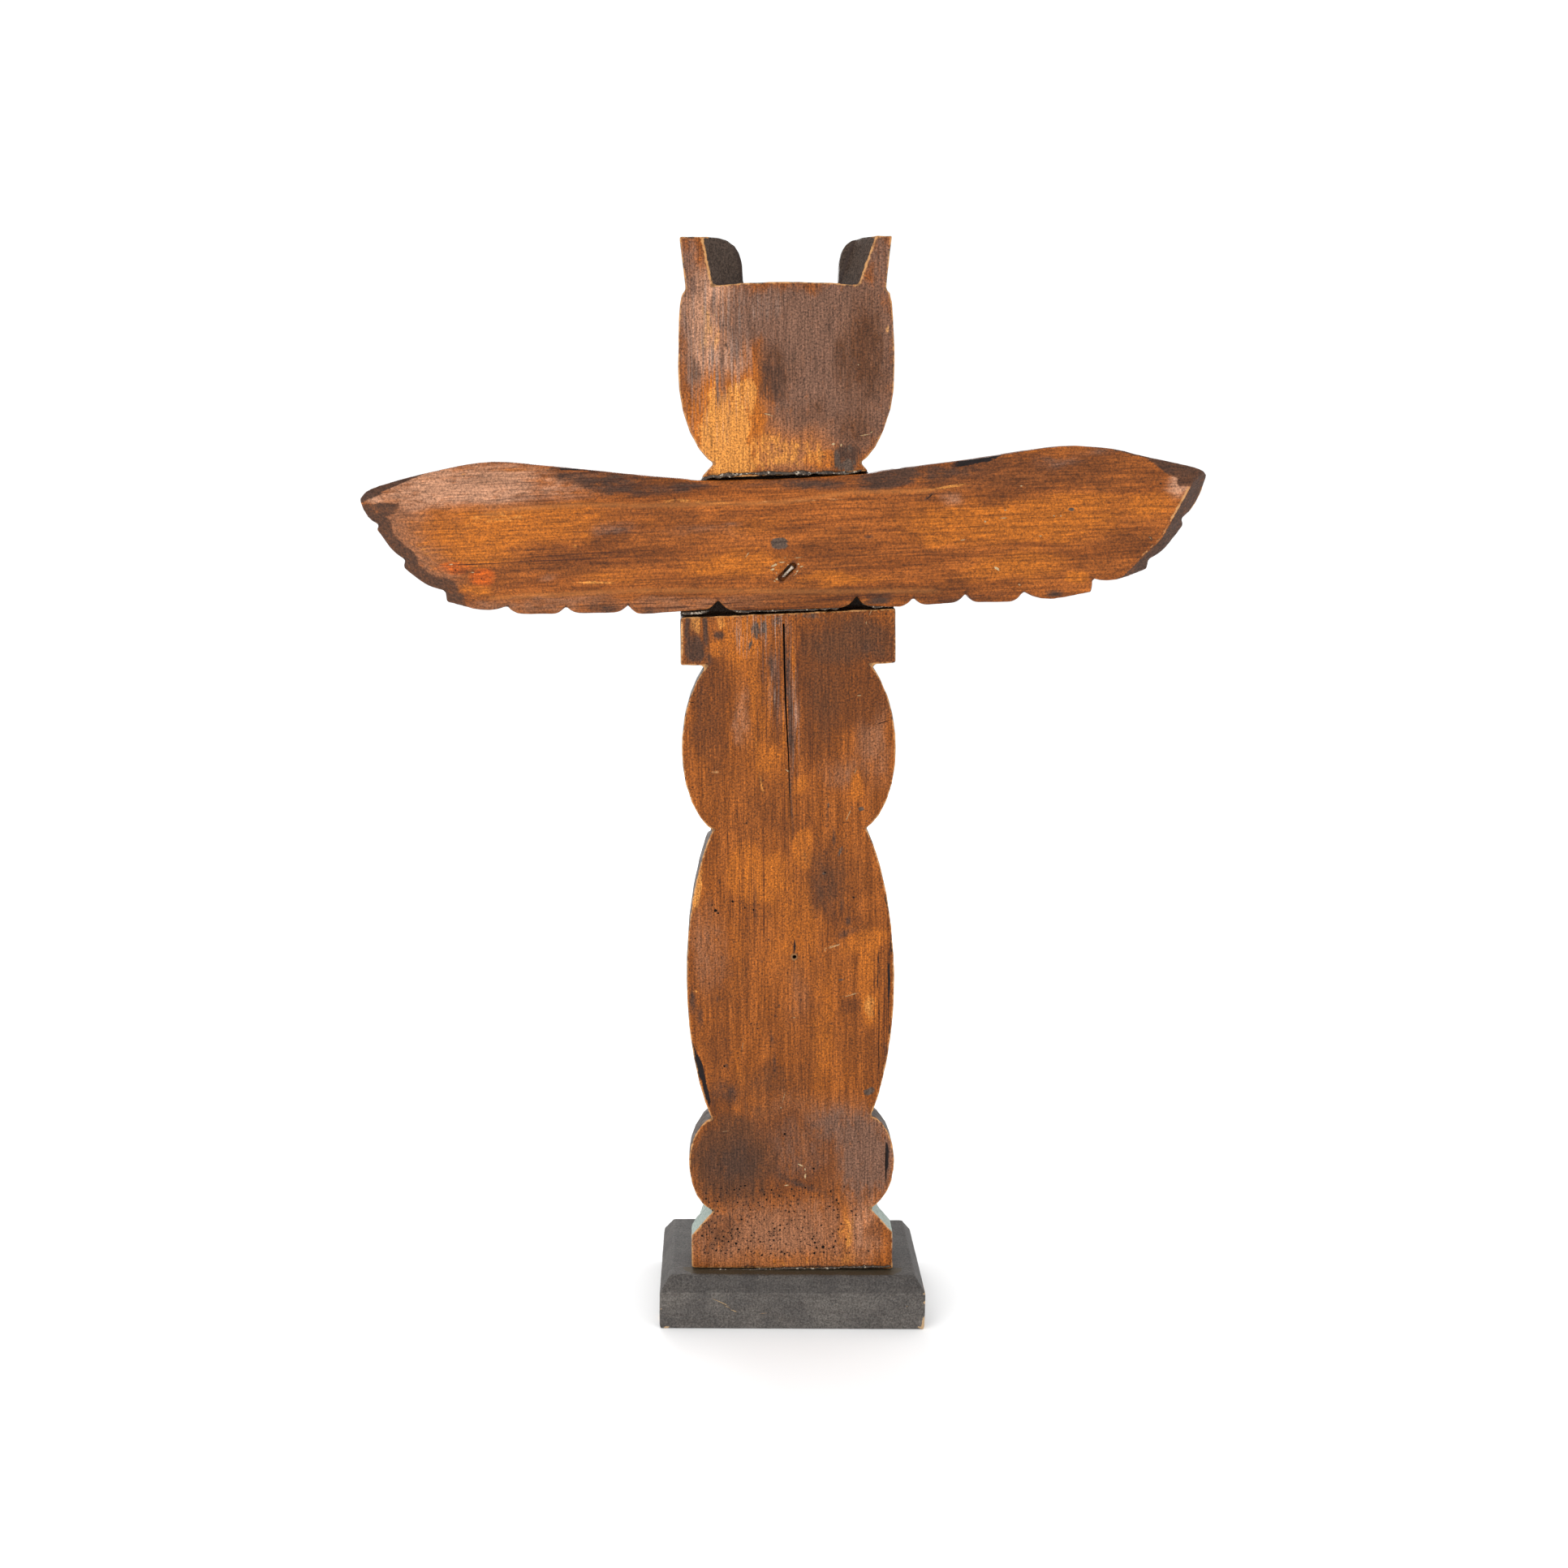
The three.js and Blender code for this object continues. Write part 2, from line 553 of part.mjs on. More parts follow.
function wingOutline() {
  const outline = new THREE.Shape();
  const [west, east] = [WEST.notches, EAST.notches];
  const blunt = [8, 8];
  const lengthened = (from, to) => [Math.hypot(to[0] - from[0], to[1] - from[1]) * 0.55, 2.4];
  outline.moveTo(...WEST.tip);
  outline.quadraticCurveTo(...WEST.tipBend, ...west.at(-1));
  for (let i = west.length - 1; i > 0; i -= 1) {
    const shoulders = i > 3 ? lengthened(west[i], west[i - 1]).reverse() : blunt;
    scallop(outline, west[i], west[i - 1], WEST.hangs[i - 1], shoulders);
  }
  scallop(outline, west[0], east[0], 7.4, [10, 10]);
  for (let i = 0; i < east.length - 1; i += 1) {
    const shoulders = i > 2 ? lengthened(east[i], east[i + 1]) : blunt;
    scallop(outline, east[i], east[i + 1], EAST.hangs[i], shoulders);
  }
  outline.quadraticCurveTo(...EAST.tipBend, ...EAST.tip);
  const top = [...EAST.top, BOARD_TOP_MIDDLE, ...[...WEST.top].reverse(), WEST.tip];
  outline.splineThru(top.map(([x, z]) => new THREE.Vector2(x, z)));
  return outline;
}

// A flat cut on the board's back, to the left of the line from one point to the other, falling away
function backBevel(from, to, slopeDegrees) {
  const start = new THREE.Vector2(...from);
  const end = new THREE.Vector2(...to);
  const tool = new THREE.BoxGeometry(2 * FAR, FAR, 2 * FAR);
  tool.translate(0, FAR / 2, FAR);
  tool.rotateX(THREE.MathUtils.degToRad(slopeDegrees));
  tool.rotateY(-end.clone().sub(start).angle());
  const middle = start.add(end).multiplyScalar(0.5);
  tool.translate(middle.x, WING_PROUD, middle.y);
  return solid(tool);
}

// Bevels that follow a bent ridge: at each bend the two neighbouring cuts meet in one crease
function ridgeBevel(points, slopeDegrees) {
  const cuts = points.slice(1).map((to, i) => backBevel(points[i], to, slopeDegrees));
  const middles = points.slice(1).map((to, i) => (points[i][0] + to[0]) / 2);
  const onward = Math.sign(points.at(-1)[0] - points[0][0]);
  return joined(cuts.slice(1).map((next, i) => {
    const [before, bend, after] = points.slice(i, i + 3);
    const turn = (bend[0] - before[0]) * (after[1] - bend[1]) - (bend[1] - before[1]) * (after[0] - bend[0]);
    const pair = turn > 0 ? cuts[i].intersect(next) : cuts[i].add(next);
    const start = i === 0 ? -onward * FAR : middles[i];
    const end = i === cuts.length - 2 ? onward * FAR : middles[i + 1];
    return pair.intersect(box([Math.min(start, end), -FAR, -FAR], [Math.max(start, end), FAR, FAR]));
  }));
}

const UPPER_RIDGE = [
  [-136, 44], [-111, 30.6], [-93, 27.6], [-37, 28.3], [2.5, 24.3], [84, 25.8], [118, 27.9], [154, 26.6], [191, 22.4],
  [222, 31],
];
const WEST_UPPER_RIDGE = [[-236, 26.3], [-206, 31.8], [-172, 35.3], [-142.5, 43.3]];
const LOWER_RIDGE = [[180, -23.5], [91.6, -22.6], [2.7, -26.8], [-172, -33.8]];
const EAST_TIP_RIDGE = [[231, 35], [199, -5.5]];
const EAST_END_RIDGE = [[200, -4], [175.8, -23.7]];
const WEST_END_RIDGE = [[-190, -28.9], [-216.7, -4.2]];
const WEST_TIP_RIDGE = [[-216.7, -4.2], [-234.5, 26]];

function backBevels() {
  return joined([
    ridgeBevel(UPPER_RIDGE, 21),
    ridgeBevel(WEST_UPPER_RIDGE, 24),
    ridgeBevel(LOWER_RIDGE, 20),
    backBevel(...EAST_TIP_RIDGE, 33),
    backBevel(...EAST_END_RIDGE, 31),
    backBevel(...WEST_END_RIDGE, 40),
    backBevel(...WEST_TIP_RIDGE, 44),
  ]);
}

// The front carries a raised row of short covert feathers over the long ones
function covertRow(side) {
  const shape = new THREE.Shape();
  const pitch = 33;
  const rise = 3.4;
  let from = [side * (POLE_HALF_WIDTH + 3), 4];
  shape.moveTo(from[0], FAR);
  shape.lineTo(...from);
  for (let i = 0; i < 5; i += 1) {
    const to = [from[0] + side * pitch, from[1] + rise];
    scallop(shape, from, to, side * 6.5, [10, 10]);
    from = to;
  }
  shape.lineTo(side * FAR, from[1] + 16);
  shape.lineTo(side * FAR, FAR);
  return polygon(shape.getPoints(4).map(({ x, y }) => [x, y]));
}

// Long feathers are parted by grooves that run from each notch up towards the shoulder
const SHOULDER = { x: 60, z: 92 };

function featherGrooves(notches, side) {
  const front = WING_THICK - WING_PROUD - COVERT_STEP + 0.3;
  return notches.slice(1).map(([x, z]) => {
    const root = new THREE.Vector2(side * SHOULDER.x, SHOULDER.z);
    const end = new THREE.Vector2(x, z).lerp(root, 0.62);
    return grooveBar([x, front, z - 0.5], [end.x, front, end.y], 2.4);
  });
}

const NAIL_TOWARDS = new THREE.Vector3(0.69, -0.3, -0.66).normalize();

function nailAlong(radius, length) {
  const geometry = new THREE.CylinderGeometry(radius, radius, length, 12);
  geometry.translate(0, length / 2, 0);
  geometry.applyQuaternion(new THREE.Quaternion().setFromUnitVectors(new THREE.Vector3(0, 1, 0), NAIL_TOWARDS));
  geometry.translate(NAIL_HEAD.x, WING_PROUD - NAIL_RADIUS - 0.5, NAIL_HEAD.z);
  return solid(geometry);
}

// A round-ended gouge in the board's back, in line with the nail
function nailGouge() {
  const gouge = new THREE.Shape();
  const half = NAIL_RADIUS + 0.65;
  const length = 9.5;
  const deep = 3.2;
  gouge.absarc(0, 0, half, 0, Math.PI, false);
  gouge.absarc(0, -length, half, Math.PI, 2 * Math.PI, false);
  const geometry = new THREE.ExtrudeGeometry(gouge, { depth: 12, bevelEnabled: false, curveSegments: 5 });
  geometry.rotateX(Math.PI / 2);
  geometry.rotateY(-Math.atan2(NAIL_TOWARDS.x, -NAIL_TOWARDS.z));
  geometry.translate(NAIL_HEAD.x, WING_PROUD + 12 - deep, NAIL_HEAD.z + 0.4);
  return solid(geometry);
}

function wingBoard() {
  const outline = wingOutline();
  const front = WING_THICK - WING_PROUD;
  const thin = plate(outline, -WING_PROUD, front - COVERT_STEP, 4);
  const full = plate(outline, -WING_PROUD, front, 4);
  const seat = box([-POLE_HALF_WIDTH - 3, -FAR, -FAR], [POLE_HALF_WIDTH + 3, FAR, FAR]);
  const coverts = joined([1, -1].map((side) => plate(covertRow(side), -FAR, FAR)));
  return thin
    .add(full.intersect(joined([seat, coverts])))
    .subtract(joined([...featherGrooves(EAST.notches, 1), ...featherGrooves(WEST.notches, -1)]))
    .subtract(backBevels())
    .subtract(nailGouge())
    .subtract(nailAlong(NAIL_RADIUS + SEAT_GAP, NAIL_LENGTH + SEAT_GAP));
}

// The plinth: a rectangular block whose top edges are chamfered all round
function plinth() {
  const chamfered = (width) => polygon([
    [-width / 2, 0],
    [width / 2, 0],
    [width / 2, PLINTH_HEIGHT - CHAMFER_DOWN],
    [width / 2 - CHAMFER_ACROSS, PLINTH_HEIGHT],
    [-width / 2 + CHAMFER_ACROSS, PLINTH_HEIGHT],
    [-width / 2, PLINTH_HEIGHT - CHAMFER_DOWN],
  ]);
  return plate(chamfered(PLINTH_WIDTH), -PLINTH_DEPTH / 2, PLINTH_DEPTH / 2)
    .intersect(sideBlock(chamfered(PLINTH_DEPTH), PLINTH_WIDTH));
}

const wings = new THREE.Group();
wings.add(meshOf('wing_board', wingBoard(), MATERIALS.stained));
wings.add(meshOf('wing_nail', nailAlong(NAIL_RADIUS, NAIL_LENGTH), MATERIALS.steel));
wings.rotation.y = WING_TILT;
wings.position.z = WING_MIDDLE;

const carved = new THREE.Group();
carved.add(meshOf('pole', pole(), MATERIALS.stained));
carved.add(wings);
carved.rotation.y = POLE_LEAN;
carved.position.set(0, PLINTH_DEPTH / 2 - POLE_TO_PLINTH_BACK, PLINTH_HEIGHT);

const totemPole = new THREE.Group();
totemPole.add(meshOf('plinth', plinth(), MATERIALS.black));
totemPole.add(carved);

export default totemPole;
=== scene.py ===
import math

import bmesh
import bpy
import numpy as np
from mathutils import Matrix, Vector, kdtree


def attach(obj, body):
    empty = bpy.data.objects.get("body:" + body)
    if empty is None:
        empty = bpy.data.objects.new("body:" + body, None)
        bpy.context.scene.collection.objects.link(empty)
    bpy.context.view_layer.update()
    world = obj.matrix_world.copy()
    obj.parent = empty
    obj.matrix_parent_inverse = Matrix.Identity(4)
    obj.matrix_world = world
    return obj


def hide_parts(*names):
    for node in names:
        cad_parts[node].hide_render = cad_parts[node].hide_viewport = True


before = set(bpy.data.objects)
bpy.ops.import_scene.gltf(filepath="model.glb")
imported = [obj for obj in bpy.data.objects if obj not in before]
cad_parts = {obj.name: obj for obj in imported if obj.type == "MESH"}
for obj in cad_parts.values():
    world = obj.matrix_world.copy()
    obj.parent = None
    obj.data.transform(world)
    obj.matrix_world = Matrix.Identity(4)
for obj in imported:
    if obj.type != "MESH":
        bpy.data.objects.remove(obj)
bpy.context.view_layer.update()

MM = 0.001
scene = bpy.context.scene

# The pole leans on its plinth, and the wing board is tilted a little against the pole
LEAN = math.radians(1.5)
TILT = math.radians(1.9)
PLINTH_TOP = 32
POLE_BACK = 36
WING_MIDDLE = 445
WING_PROUD = 6.5
PLINTH_DEPTH = 102
CHAMFER_LOW = 22.8
POLE_FRAME = Matrix.Translation((0, POLE_BACK, PLINTH_TOP)) @ Matrix.Rotation(LEAN, 4, "Y")
WING_FRAME = POLE_FRAME @ Matrix.Translation((0, 0, WING_MIDDLE)) @ Matrix.Rotation(TILT, 4, "Y")
PLINTH_FRAME = Matrix.Identity(4)


# Noise on a lattice, the same on every run
def lattice(points, seed):
    cell = np.floor(points).astype(np.int64)
    part = points - cell
    part = part * part * (3 - 2 * part)
    total = np.zeros(len(points))
    for corner in range(8):
        step = np.array([corner & 1, corner >> 1 & 1, corner >> 2 & 1])
        at = cell + step
        mixed = (at[:, 0] * 73856093) ^ (at[:, 1] * 19349663) ^ (at[:, 2] * 83492791) ^ (seed * 2654435761)
        mixed = (mixed ^ (mixed >> 13)) * 1274126177
        value = ((mixed ^ (mixed >> 16)) & 0xFFFF) / 0xFFFF
        weight = np.prod(np.where(step == 1, part, 1 - part), axis=1)
        total += weight * value
    return total


def clouds(points, size, seed, octaves=2):
    total = np.zeros(len(points))
    share = 1.0
    for octave in range(octaves):
        total += share * (lattice(points / np.array(size) * 2 ** octave, seed + octave) - 0.5)
        share *= 0.5
    return total


def smooth_step(low, high, value):
    t = np.clip((value - low) / (high - low), 0, 1)
    return t * t * (3 - 2 * t)


# Meshes and their vertices, in millimetres of a piece's own frame
def vertices_of(mesh):
    flat = np.empty(len(mesh.vertices) * 3)
    mesh.vertices.foreach_get("co", flat)
    return flat.reshape(-1, 3)


def normals_of(mesh):
    flat = np.empty(len(mesh.vertices) * 3)
    mesh.vertex_normals.foreach_get("vector", flat)
    return flat.reshape(-1, 3)


def own_places(mesh, own_frame):
    inverse = np.array(own_frame.inverted())
    places = vertices_of(mesh) / MM
    return places @ inverse[:3, :3].T + inverse[:3, 3]


def own_normals(mesh, own_frame):
    inverse = np.array(own_frame.inverted())
    return normals_of(mesh) @ inverse[:3, :3].T


def set_places(mesh, places, own_frame):
    matrix = np.array(own_frame)
    world = (places @ matrix[:3, :3].T + matrix[:3, 3]) * MM
    mesh.vertices.foreach_set("co", world.ravel())
    mesh.update()


def object_of(name, mesh):
    piece = bpy.data.objects.new(name, mesh)
    scene.collection.objects.link(piece)
    return piece


def applied(piece):
    graph = bpy.context.evaluated_depsgraph_get()
    mesh = bpy.data.meshes.new_from_object(piece.evaluated_get(graph))
    piece.modifiers.clear()
    piece.data = mesh


def welded(solid):
    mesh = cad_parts[solid].data.copy()
    work = bmesh.new()
    work.from_mesh(mesh)
    bmesh.ops.remove_doubles(work, verts=work.verts, dist=1e-6)
    work.to_mesh(mesh)
    work.free()
    return mesh


def mesh_of(name, vertices, faces, finish):
    mesh = bpy.data.meshes.new(name)
    mesh.from_pydata([tuple(vertex) for vertex in vertices], [], faces)
    mesh.materials.append(finish)
    return mesh


# A fine, even mesh over a solid, with its sharp edges slightly eased
def refined(solid, name, grid):
    piece = object_of(name, welded(solid))
    remesh = piece.modifiers.new("grid", "REMESH")
    remesh.mode = "VOXEL"
    remesh.voxel_size = grid * MM
    smooth = piece.modifiers.new("relax", "SMOOTH")
    smooth.factor = 0.5
    smooth.iterations = 2
    applied(piece)
    return piece


def pushed_in(piece, own_frame, inward):
    places, normals = own_places(piece.data, own_frame), own_normals(piece.data, own_frame)
    set_places(piece.data, places - normals * inward[:, None], own_frame)


def painted_with(piece, finish):
    piece.data.materials.clear()
    piece.data.materials.append(finish)


def tree_of(points):
    tree = kdtree.KDTree(len(points))
    for i, point in enumerate(points):
        tree.insert(point, i)
    tree.balance()
    return tree


EDGE_STEP = 0.5 * MM


# Points along the edges of a solid: sharp ones, blunt ridges and those that lie in a corner
def edge_trees(solid, ridge_degrees, sharp_degrees):
    work = bmesh.new()
    work.from_mesh(welded(solid))
    ridge, sharp = math.radians(ridge_degrees), math.radians(sharp_degrees)
    far = Vector((9, 9, 9))
    found = {"out": [far], "ridge": [far], "in": [far]}
    for edge in work.edges:
        if len(edge.link_faces) != 2:
            continue
        angle = edge.calc_face_angle_signed()
        if abs(angle) < ridge:
            continue
        start, end = edge.verts[0].co, edge.verts[1].co
        count = max(1, int((end - start).length / EDGE_STEP))
        side = "in" if angle < 0 else "out" if angle > sharp else "ridge"
        found[side].extend(start.lerp(end, i / count) for i in range(count + 1))
    work.free()
    return {side: tree_of(points) for side, points in found.items()}


def distances(mesh, tree):
    return np.array([tree.find(v.co)[2] for v in mesh.vertices]) / MM


# How far each vertex lies from the solid's sharp edges, blunt ridges and corners
def edge_distances(mesh, solid, ridge_degrees, sharp_degrees):
    trees = edge_trees(solid, ridge_degrees, sharp_degrees)
    return [distances(mesh, trees[side]) for side in ("out", "ridge", "in")]


def keep_numbers(mesh, **layers):
    for name, values in layers.items():
        layer = mesh.attributes.new(name, "FLOAT", "POINT")
        layer.data.foreach_set("value", np.asarray(values, dtype=np.float32))


def keep_three(mesh, name, values):
    layer = mesh.attributes.new(name, "FLOAT_VECTOR", "POINT")
    stacked = np.column_stack(values).astype(np.float32)
    layer.data.foreach_set("vector", stacked.ravel())


# A mark on a flat back: across and up in millimetres as seen from behind, with half sizes, a turn in
# degrees, the width of its soft rim and how strong it is
def coverage(u, v, mark):
    centre_u, centre_v, half_u, half_v, turn, soft, strength = mark
    cosine, sine = math.cos(math.radians(turn)), math.sin(math.radians(turn))
    across = np.abs((u - centre_u) * cosine + (v - centre_v) * sine) / half_u
    up = np.abs(-(u - centre_u) * sine + (v - centre_v) * cosine) / half_v
    away = ((across ** 2.6 + up ** 2.6) ** (1 / 2.6) - 1) * min(half_u, half_v)
    return strength * np.clip(0.5 - away / (2 * soft), 0, 1)


# Soft marks wander more than crisp ones
def masks(places, marks, wander):
    u, v = -places[:, 0], places[:, 2]
    found = {}
    for kind, spots in marks.items():
        found[kind] = np.zeros(len(places))
        for mark in spots:
            loose = min(1.0, mark[-2] / 3)
            cover = coverage(u + wander[0] * loose, v + wander[1] * loose, mark)
            found[kind] = np.maximum(found[kind], cover)
    return found


# Three masks share each stored vector
GROUPS = {
    "stain_a": ("orange", "amber", "grey"),
    "stain_b": ("brown", "dark", "black"),
    "stain_c": ("haze_and_sheen", "pale", "slate"),
    "stain_d": ("dusk", "cream", "red"),
    "stain_e": ("fibre", "bruise_and_shade", "lines"),
}


def keep_masks(mesh, found):
    count = len(mesh.vertices)
    for name, kinds in GROUPS.items():
        keep_three(mesh, name, [np.broadcast_to(found.get(kind, 0.0), count) for kind in kinds])


# Stains and wear on the pole's back, with one painted shadow under the wing board, each kind from the head
# down
POLE_MARKS = {
    "grey": [
        (27, 556, 40, 36, 0, 8, 1.0), (40, 518, 22, 20, 0, 9, 0.9), (-5, 576, 30, 17, 0, 7, 0.9),
        (-58, 568, 6, 26, 0, 4, 0.6), (-54, 600, 8, 18, 0, 3, 0.7), (53, 598, 9, 20, 0, 3, 0.75),
        (18, 530, 26, 18, 0, 9, 0.9), (-36, 556, 1.5, 32, 0, 0.8, 0.75), (-27.5, 565, 2.4, 15, 0, 1, 0.9),
        (-22, 581, 1.6, 9, 0, 1, 0.9), (-41, 581, 1.5, 7, 0, 0.8, 0.95), (-39, 534, 1.1, 13, 0, 0.7, 0.8),
        (-47, 566, 1.8, 22, 0, 1, 0.55), (-50.5, 545, 1.2, 14, 0, 0.8, 0.7), (-55, 535, 1.4, 8, 0, 0.8, 0.7),
        (-8, 372, 3, 13, 0, 2, 0.6), (-46, 84, 12, 10, 0, 5, 0.5), (44, 72, 17, 28, 0, 8, 0.9),
        (25, 94, 14, 12, 0, 8, 0.8), (0, 78, 26, 20, 0, 9, 0.45),
    ],
    "bruise_and_shade": [
        (44, 552, 14, 30, 0, 10, 0.8), (-5, 545, 10, 16, 0, 5, 0.6), (12, 520, 14, 8, 0, 8, 0.5),
        (38, 512, 16, 12, 0, 7, 0.6), (38, 388, 26, 14, 0, 8, 0.8), (20, 356, 12, 30, 0, 8, 0.5),
        (-50, 352, 8, 44, 0, 7, 0.4), (-56, 390, 6, 20, 0, 4, 0.6), (20, 244, 14, 22, 0, 9, 0.6),
        (-30, 185, 10, 40, 0, 9, 0.35), (36, 226, 12, 14, 0, 7, 0.3), (-14, 120, 26, 12, 0, 8, 0.5),
        (-37, 70, 24, 28, 0, 9, 0.95), (-20, 105, 26, 8, 0, 7, 0.5), (-45, 26, 12, 12, 0, 6, 0.5),
    ],
    "dark": [
        (47, 550, 8, 20, 0, 9, 0.5), (-7, 537, 8.5, 11.5, 0, 2, 0.55), (33, 494, 9, 9, 0, 2.4, 0.85),
        (-55, 546, 6, 9, 0, 3, 0.55), (-49, 568, 1.2, 20, 0, 0.8, 0.4), (-34, 558.5, 1.2, 1.4, 0, 0.6, 0.9),
        (20, 495, 1.6, 1, 0, 0.8, 0.7), (10, 517, 2, 1.2, 0, 0.8, 0.5), (-59, 397, 1.1, 9, 0, 0.7, 0.85),
        (-54, 384, 6, 7.5, 0, 1.5, 0.8), (-48, 397, 1.4, 13, 0, 0.7, 0.85), (-47, 380, 2, 8, 0, 2, 0.6),
        (-40, 394, 4, 2.6, -20, 1.4, 0.75), (-38, 384, 4, 3, 0, 2, 0.4), (45, 382, 9, 5, 0, 4, 0.5),
        (0.4, 352, 1.7, 38, 1.5, 0.8, 0.8), (1, 296, 0.9, 26, 0.5, 0.6, 0.75),
        (-9.5, 366, 1.5, 24, 0, 0.9, 0.7), (-6.5, 360, 1, 18, 0, 0.8, 0.65),
        (21, 286, 1.6, 16, 0, 1.4, 0.45), (26.5, 272, 1, 7, 0, 0.8, 0.75), (18, 240, 6, 10, 0, 5, 0.35),
        (31, 232, 1.4, 5, 0, 1, 0.6), (35, 221, 1.4, 4, 0, 1, 0.7), (33, 213, 4, 3, 0, 2, 0.6),
        (57.5, 134, 1, 10, 5, 1, 0.8), (-60, 173, 2.2, 9, 0, 1.5, 0.8), (-56.5, 163, 2.5, 9, 0, 2, 0.55),
        (-44.5, 173, 0.9, 2.2, 0, 0.7, 0.7), (-22, 235, 1.2, 18, 0, 1, 0.55),
        (-12.5, 147, 1, 4, 0, 0.9, 0.65), (-11.5, 132, 1.3, 7, 0, 1, 0.65),
        (-40.5, 131, 1.4, 1, -30, 0.7, 0.8), (-40, 112, 10, 9, 0, 5, 0.6), (-34, 67, 15, 16, 0, 9, 0.75),
        (33, 80, 4, 4, 0, 3, 0.4), (47, 46, 4, 5, 0, 3, 0.45), (3, 57, 18, 2, -28, 1.6, 0.7),
        (57.5, 56, 0.5, 8, 0, 0.5, 0.8), (0, 1.5, 63, 1.1, 0, 0.8, 0.85),
    ],
    "slate": [
        (27, 493, 2.4, 9, 0, 1.6, 0.7), (33, 488, 9, 5, 0, 2, 0.65), (34, 500, 4, 5, 0, 2, 0.5),
        (-19, 396, 4, 6, 25, 1.4, 0.6), (-22, 387, 1, 4, -18, 0.6, 0.75), (-8, 401, 6, 4.5, 0, 2, 0.55),
        # the long slate band at the wing board's lower edge is a painted shadow cast by the board
        (-14, 398, 2, 5, 15, 1, 0.6), (15, 403.5, 26, 2.6, 0, 2.5, 0.5),
        (42.5, 288.5, 1.8, 1.2, 0, 0.6, 1.0), (37, 290, 1, 0.6, 0, 0.5, 0.8),
        (22.5, 291, 0.8, 2, 0, 0.5, 0.8), (46, 281, 1.5, 1, 0, 0.6, 0.7), (30, 262, 1.5, 4, -30, 1, 0.6),
        (20.5, 250, 1.2, 0.9, 0, 0.6, 0.8), (30.5, 183.5, 1.6, 0.8, 0, 0.5, 0.8),
        (47, 114, 4, 2.4, 12, 1.2, 0.75),
    ],
    "orange": [
        (29, 500, 3, 3, 0, 1, 0.7), (48, 496, 4, 6, 0, 4, 0.6), (-37, 570, 9, 20, 0, 4, 0.4),
        (-34, 514, 26, 28, 0, 9, 1.0), (2, 500, 36, 16, 0, 9, 0.45), (4, 534, 4, 14, 0, 5, 0.6),
        (20, 493, 9, 7, 0, 2, 0.7), (-42, 386, 6, 6, 0, 2, 0.7), (-26, 392, 12, 16, 0, 5, 0.8),
        (3.5, 372, 1.6, 18, 0, 1, 0.8), (-3.9, 350, 0.9, 40, 1.5, 0.6, 0.8), (-18, 365, 6, 40, 0, 5, 0.6),
        (-14, 320, 11, 14, 0, 6, 0.7), (6, 304, 5, 6, 0, 2, 0.7), (40, 303, 4.5, 9, 0, 2, 0.8),
        (-18, 250, 21, 16, 0, 4, 0.75), (8.5, 264, 6.4, 11, 0, 1.4, 1.0), (3, 218, 16, 40, 0, 9, 0.5),
        (20, 150, 9, 44, 0, 7, 0.6), (44, 203, 12, 8, 0, 3, 0.8), (46, 188, 9, 15, 0, 3, 0.7),
        (47, 168, 5, 14, 0, 2, 0.9), (38, 140, 12, 28, 0, 5, 0.3), (-31, 130, 4, 14, 0, 3, 0.5),
        (-33, 205, 4, 34, 0, 4, 0.5), (8, 82, 3, 14, 0, 3, 0.5), (60.6, 72, 1.6, 11, 0, 0.8, 0.8),
        (55.8, 80, 0.7, 8, 0, 0.6, 0.7), (32, 28, 8, 34, 0, 6, 0.6), (-4, 8, 58, 7, 0, 6, 0.5),
    ],
    "haze_and_sheen": [
        (-44, 568, 15, 36, 0, 6, 1.0), (-32, 556, 9, 24, 0, 6, 0.85), (52, 356, 8, 14, 0, 6, 0.5),
        (-28, 345, 7, 25, 0, 4, 0.4), (-6, 20, 56, 20, 0, 16, 0.62), (42, 24, 14, 24, 0, 12, 0.6),
    ],
    "fibre": [
        (-44, 566, 10, 30, 0, 3, 0.85), (-30, 560, 9, 32, 0, 5, 0.7), (-38, 532, 3, 18, 0, 3, 0.8),
        (-54, 548, 5, 34, 0, 4, 0.6), (-17, 582, 12, 9, 0, 3, 0.5), (-14, 396, 14, 12, 0, 4, 0.8),
        (-8, 368, 5, 24, 0, 2, 0.7), (3, 350, 3, 34, 0, 1.5, 0.6),
    ],
    "pale": [
        (-43, 568, 10, 26, 0, 6, 0.47), (58, 566, 1, 3, 0, 0.8, 0.7), (-62, 392, 1, 13, 0, 0.6, 0.85),
        (-44, 312, 5, 0.9, 5, 0.7, 0.6), (26, 205.5, 6, 0.8, 18, 0.6, 0.7), (21, 203, 0.8, 2, -20, 0.6, 0.7),
        (36, 174, 7, 0.7, 20, 0.6, 0.6),
    ],
    "amber": [
        (-36, 506, 18, 24, 0, 9, 0.95), (-25, 529, 10, 10, 0, 1.6, 0.6), (-27, 524, 14, 14, 0, 6, 0.45),
        (-4, 498, 34, 14, 0, 8, 0.5), (-54, 400, 3.6, 8, 0, 1.5, 0.85), (-37, 402, 4, 6, 0, 2, 0.5),
        (-17.5, 305, 1.2, 9, 12, 0.8, 0.6), (-20, 331, 0.7, 22, 0, 0.7, 0.5), (-22, 254, 18, 12, 0, 4, 0.3),
        (8.5, 264, 5.6, 10, 0, 1.6, 0.35), (47, 168, 4, 13, 0, 2, 0.5), (-58, 179, 3, 0.9, -10, 0.7, 0.7),
        (-40, 171.5, 8, 0.8, -8, 0.8, 0.4), (-55, 241, 3, 14, -12, 2, 0.8), (-20, 10, 44, 5, 0, 5, 0.35),
        (34, 22, 12, 30, 0, 9, 0.48), (-14, 20, 44, 16, 0, 9, 0.3), (0, 6, 62, 3, 0, 3, 0.4),
    ],
    "dusk": [
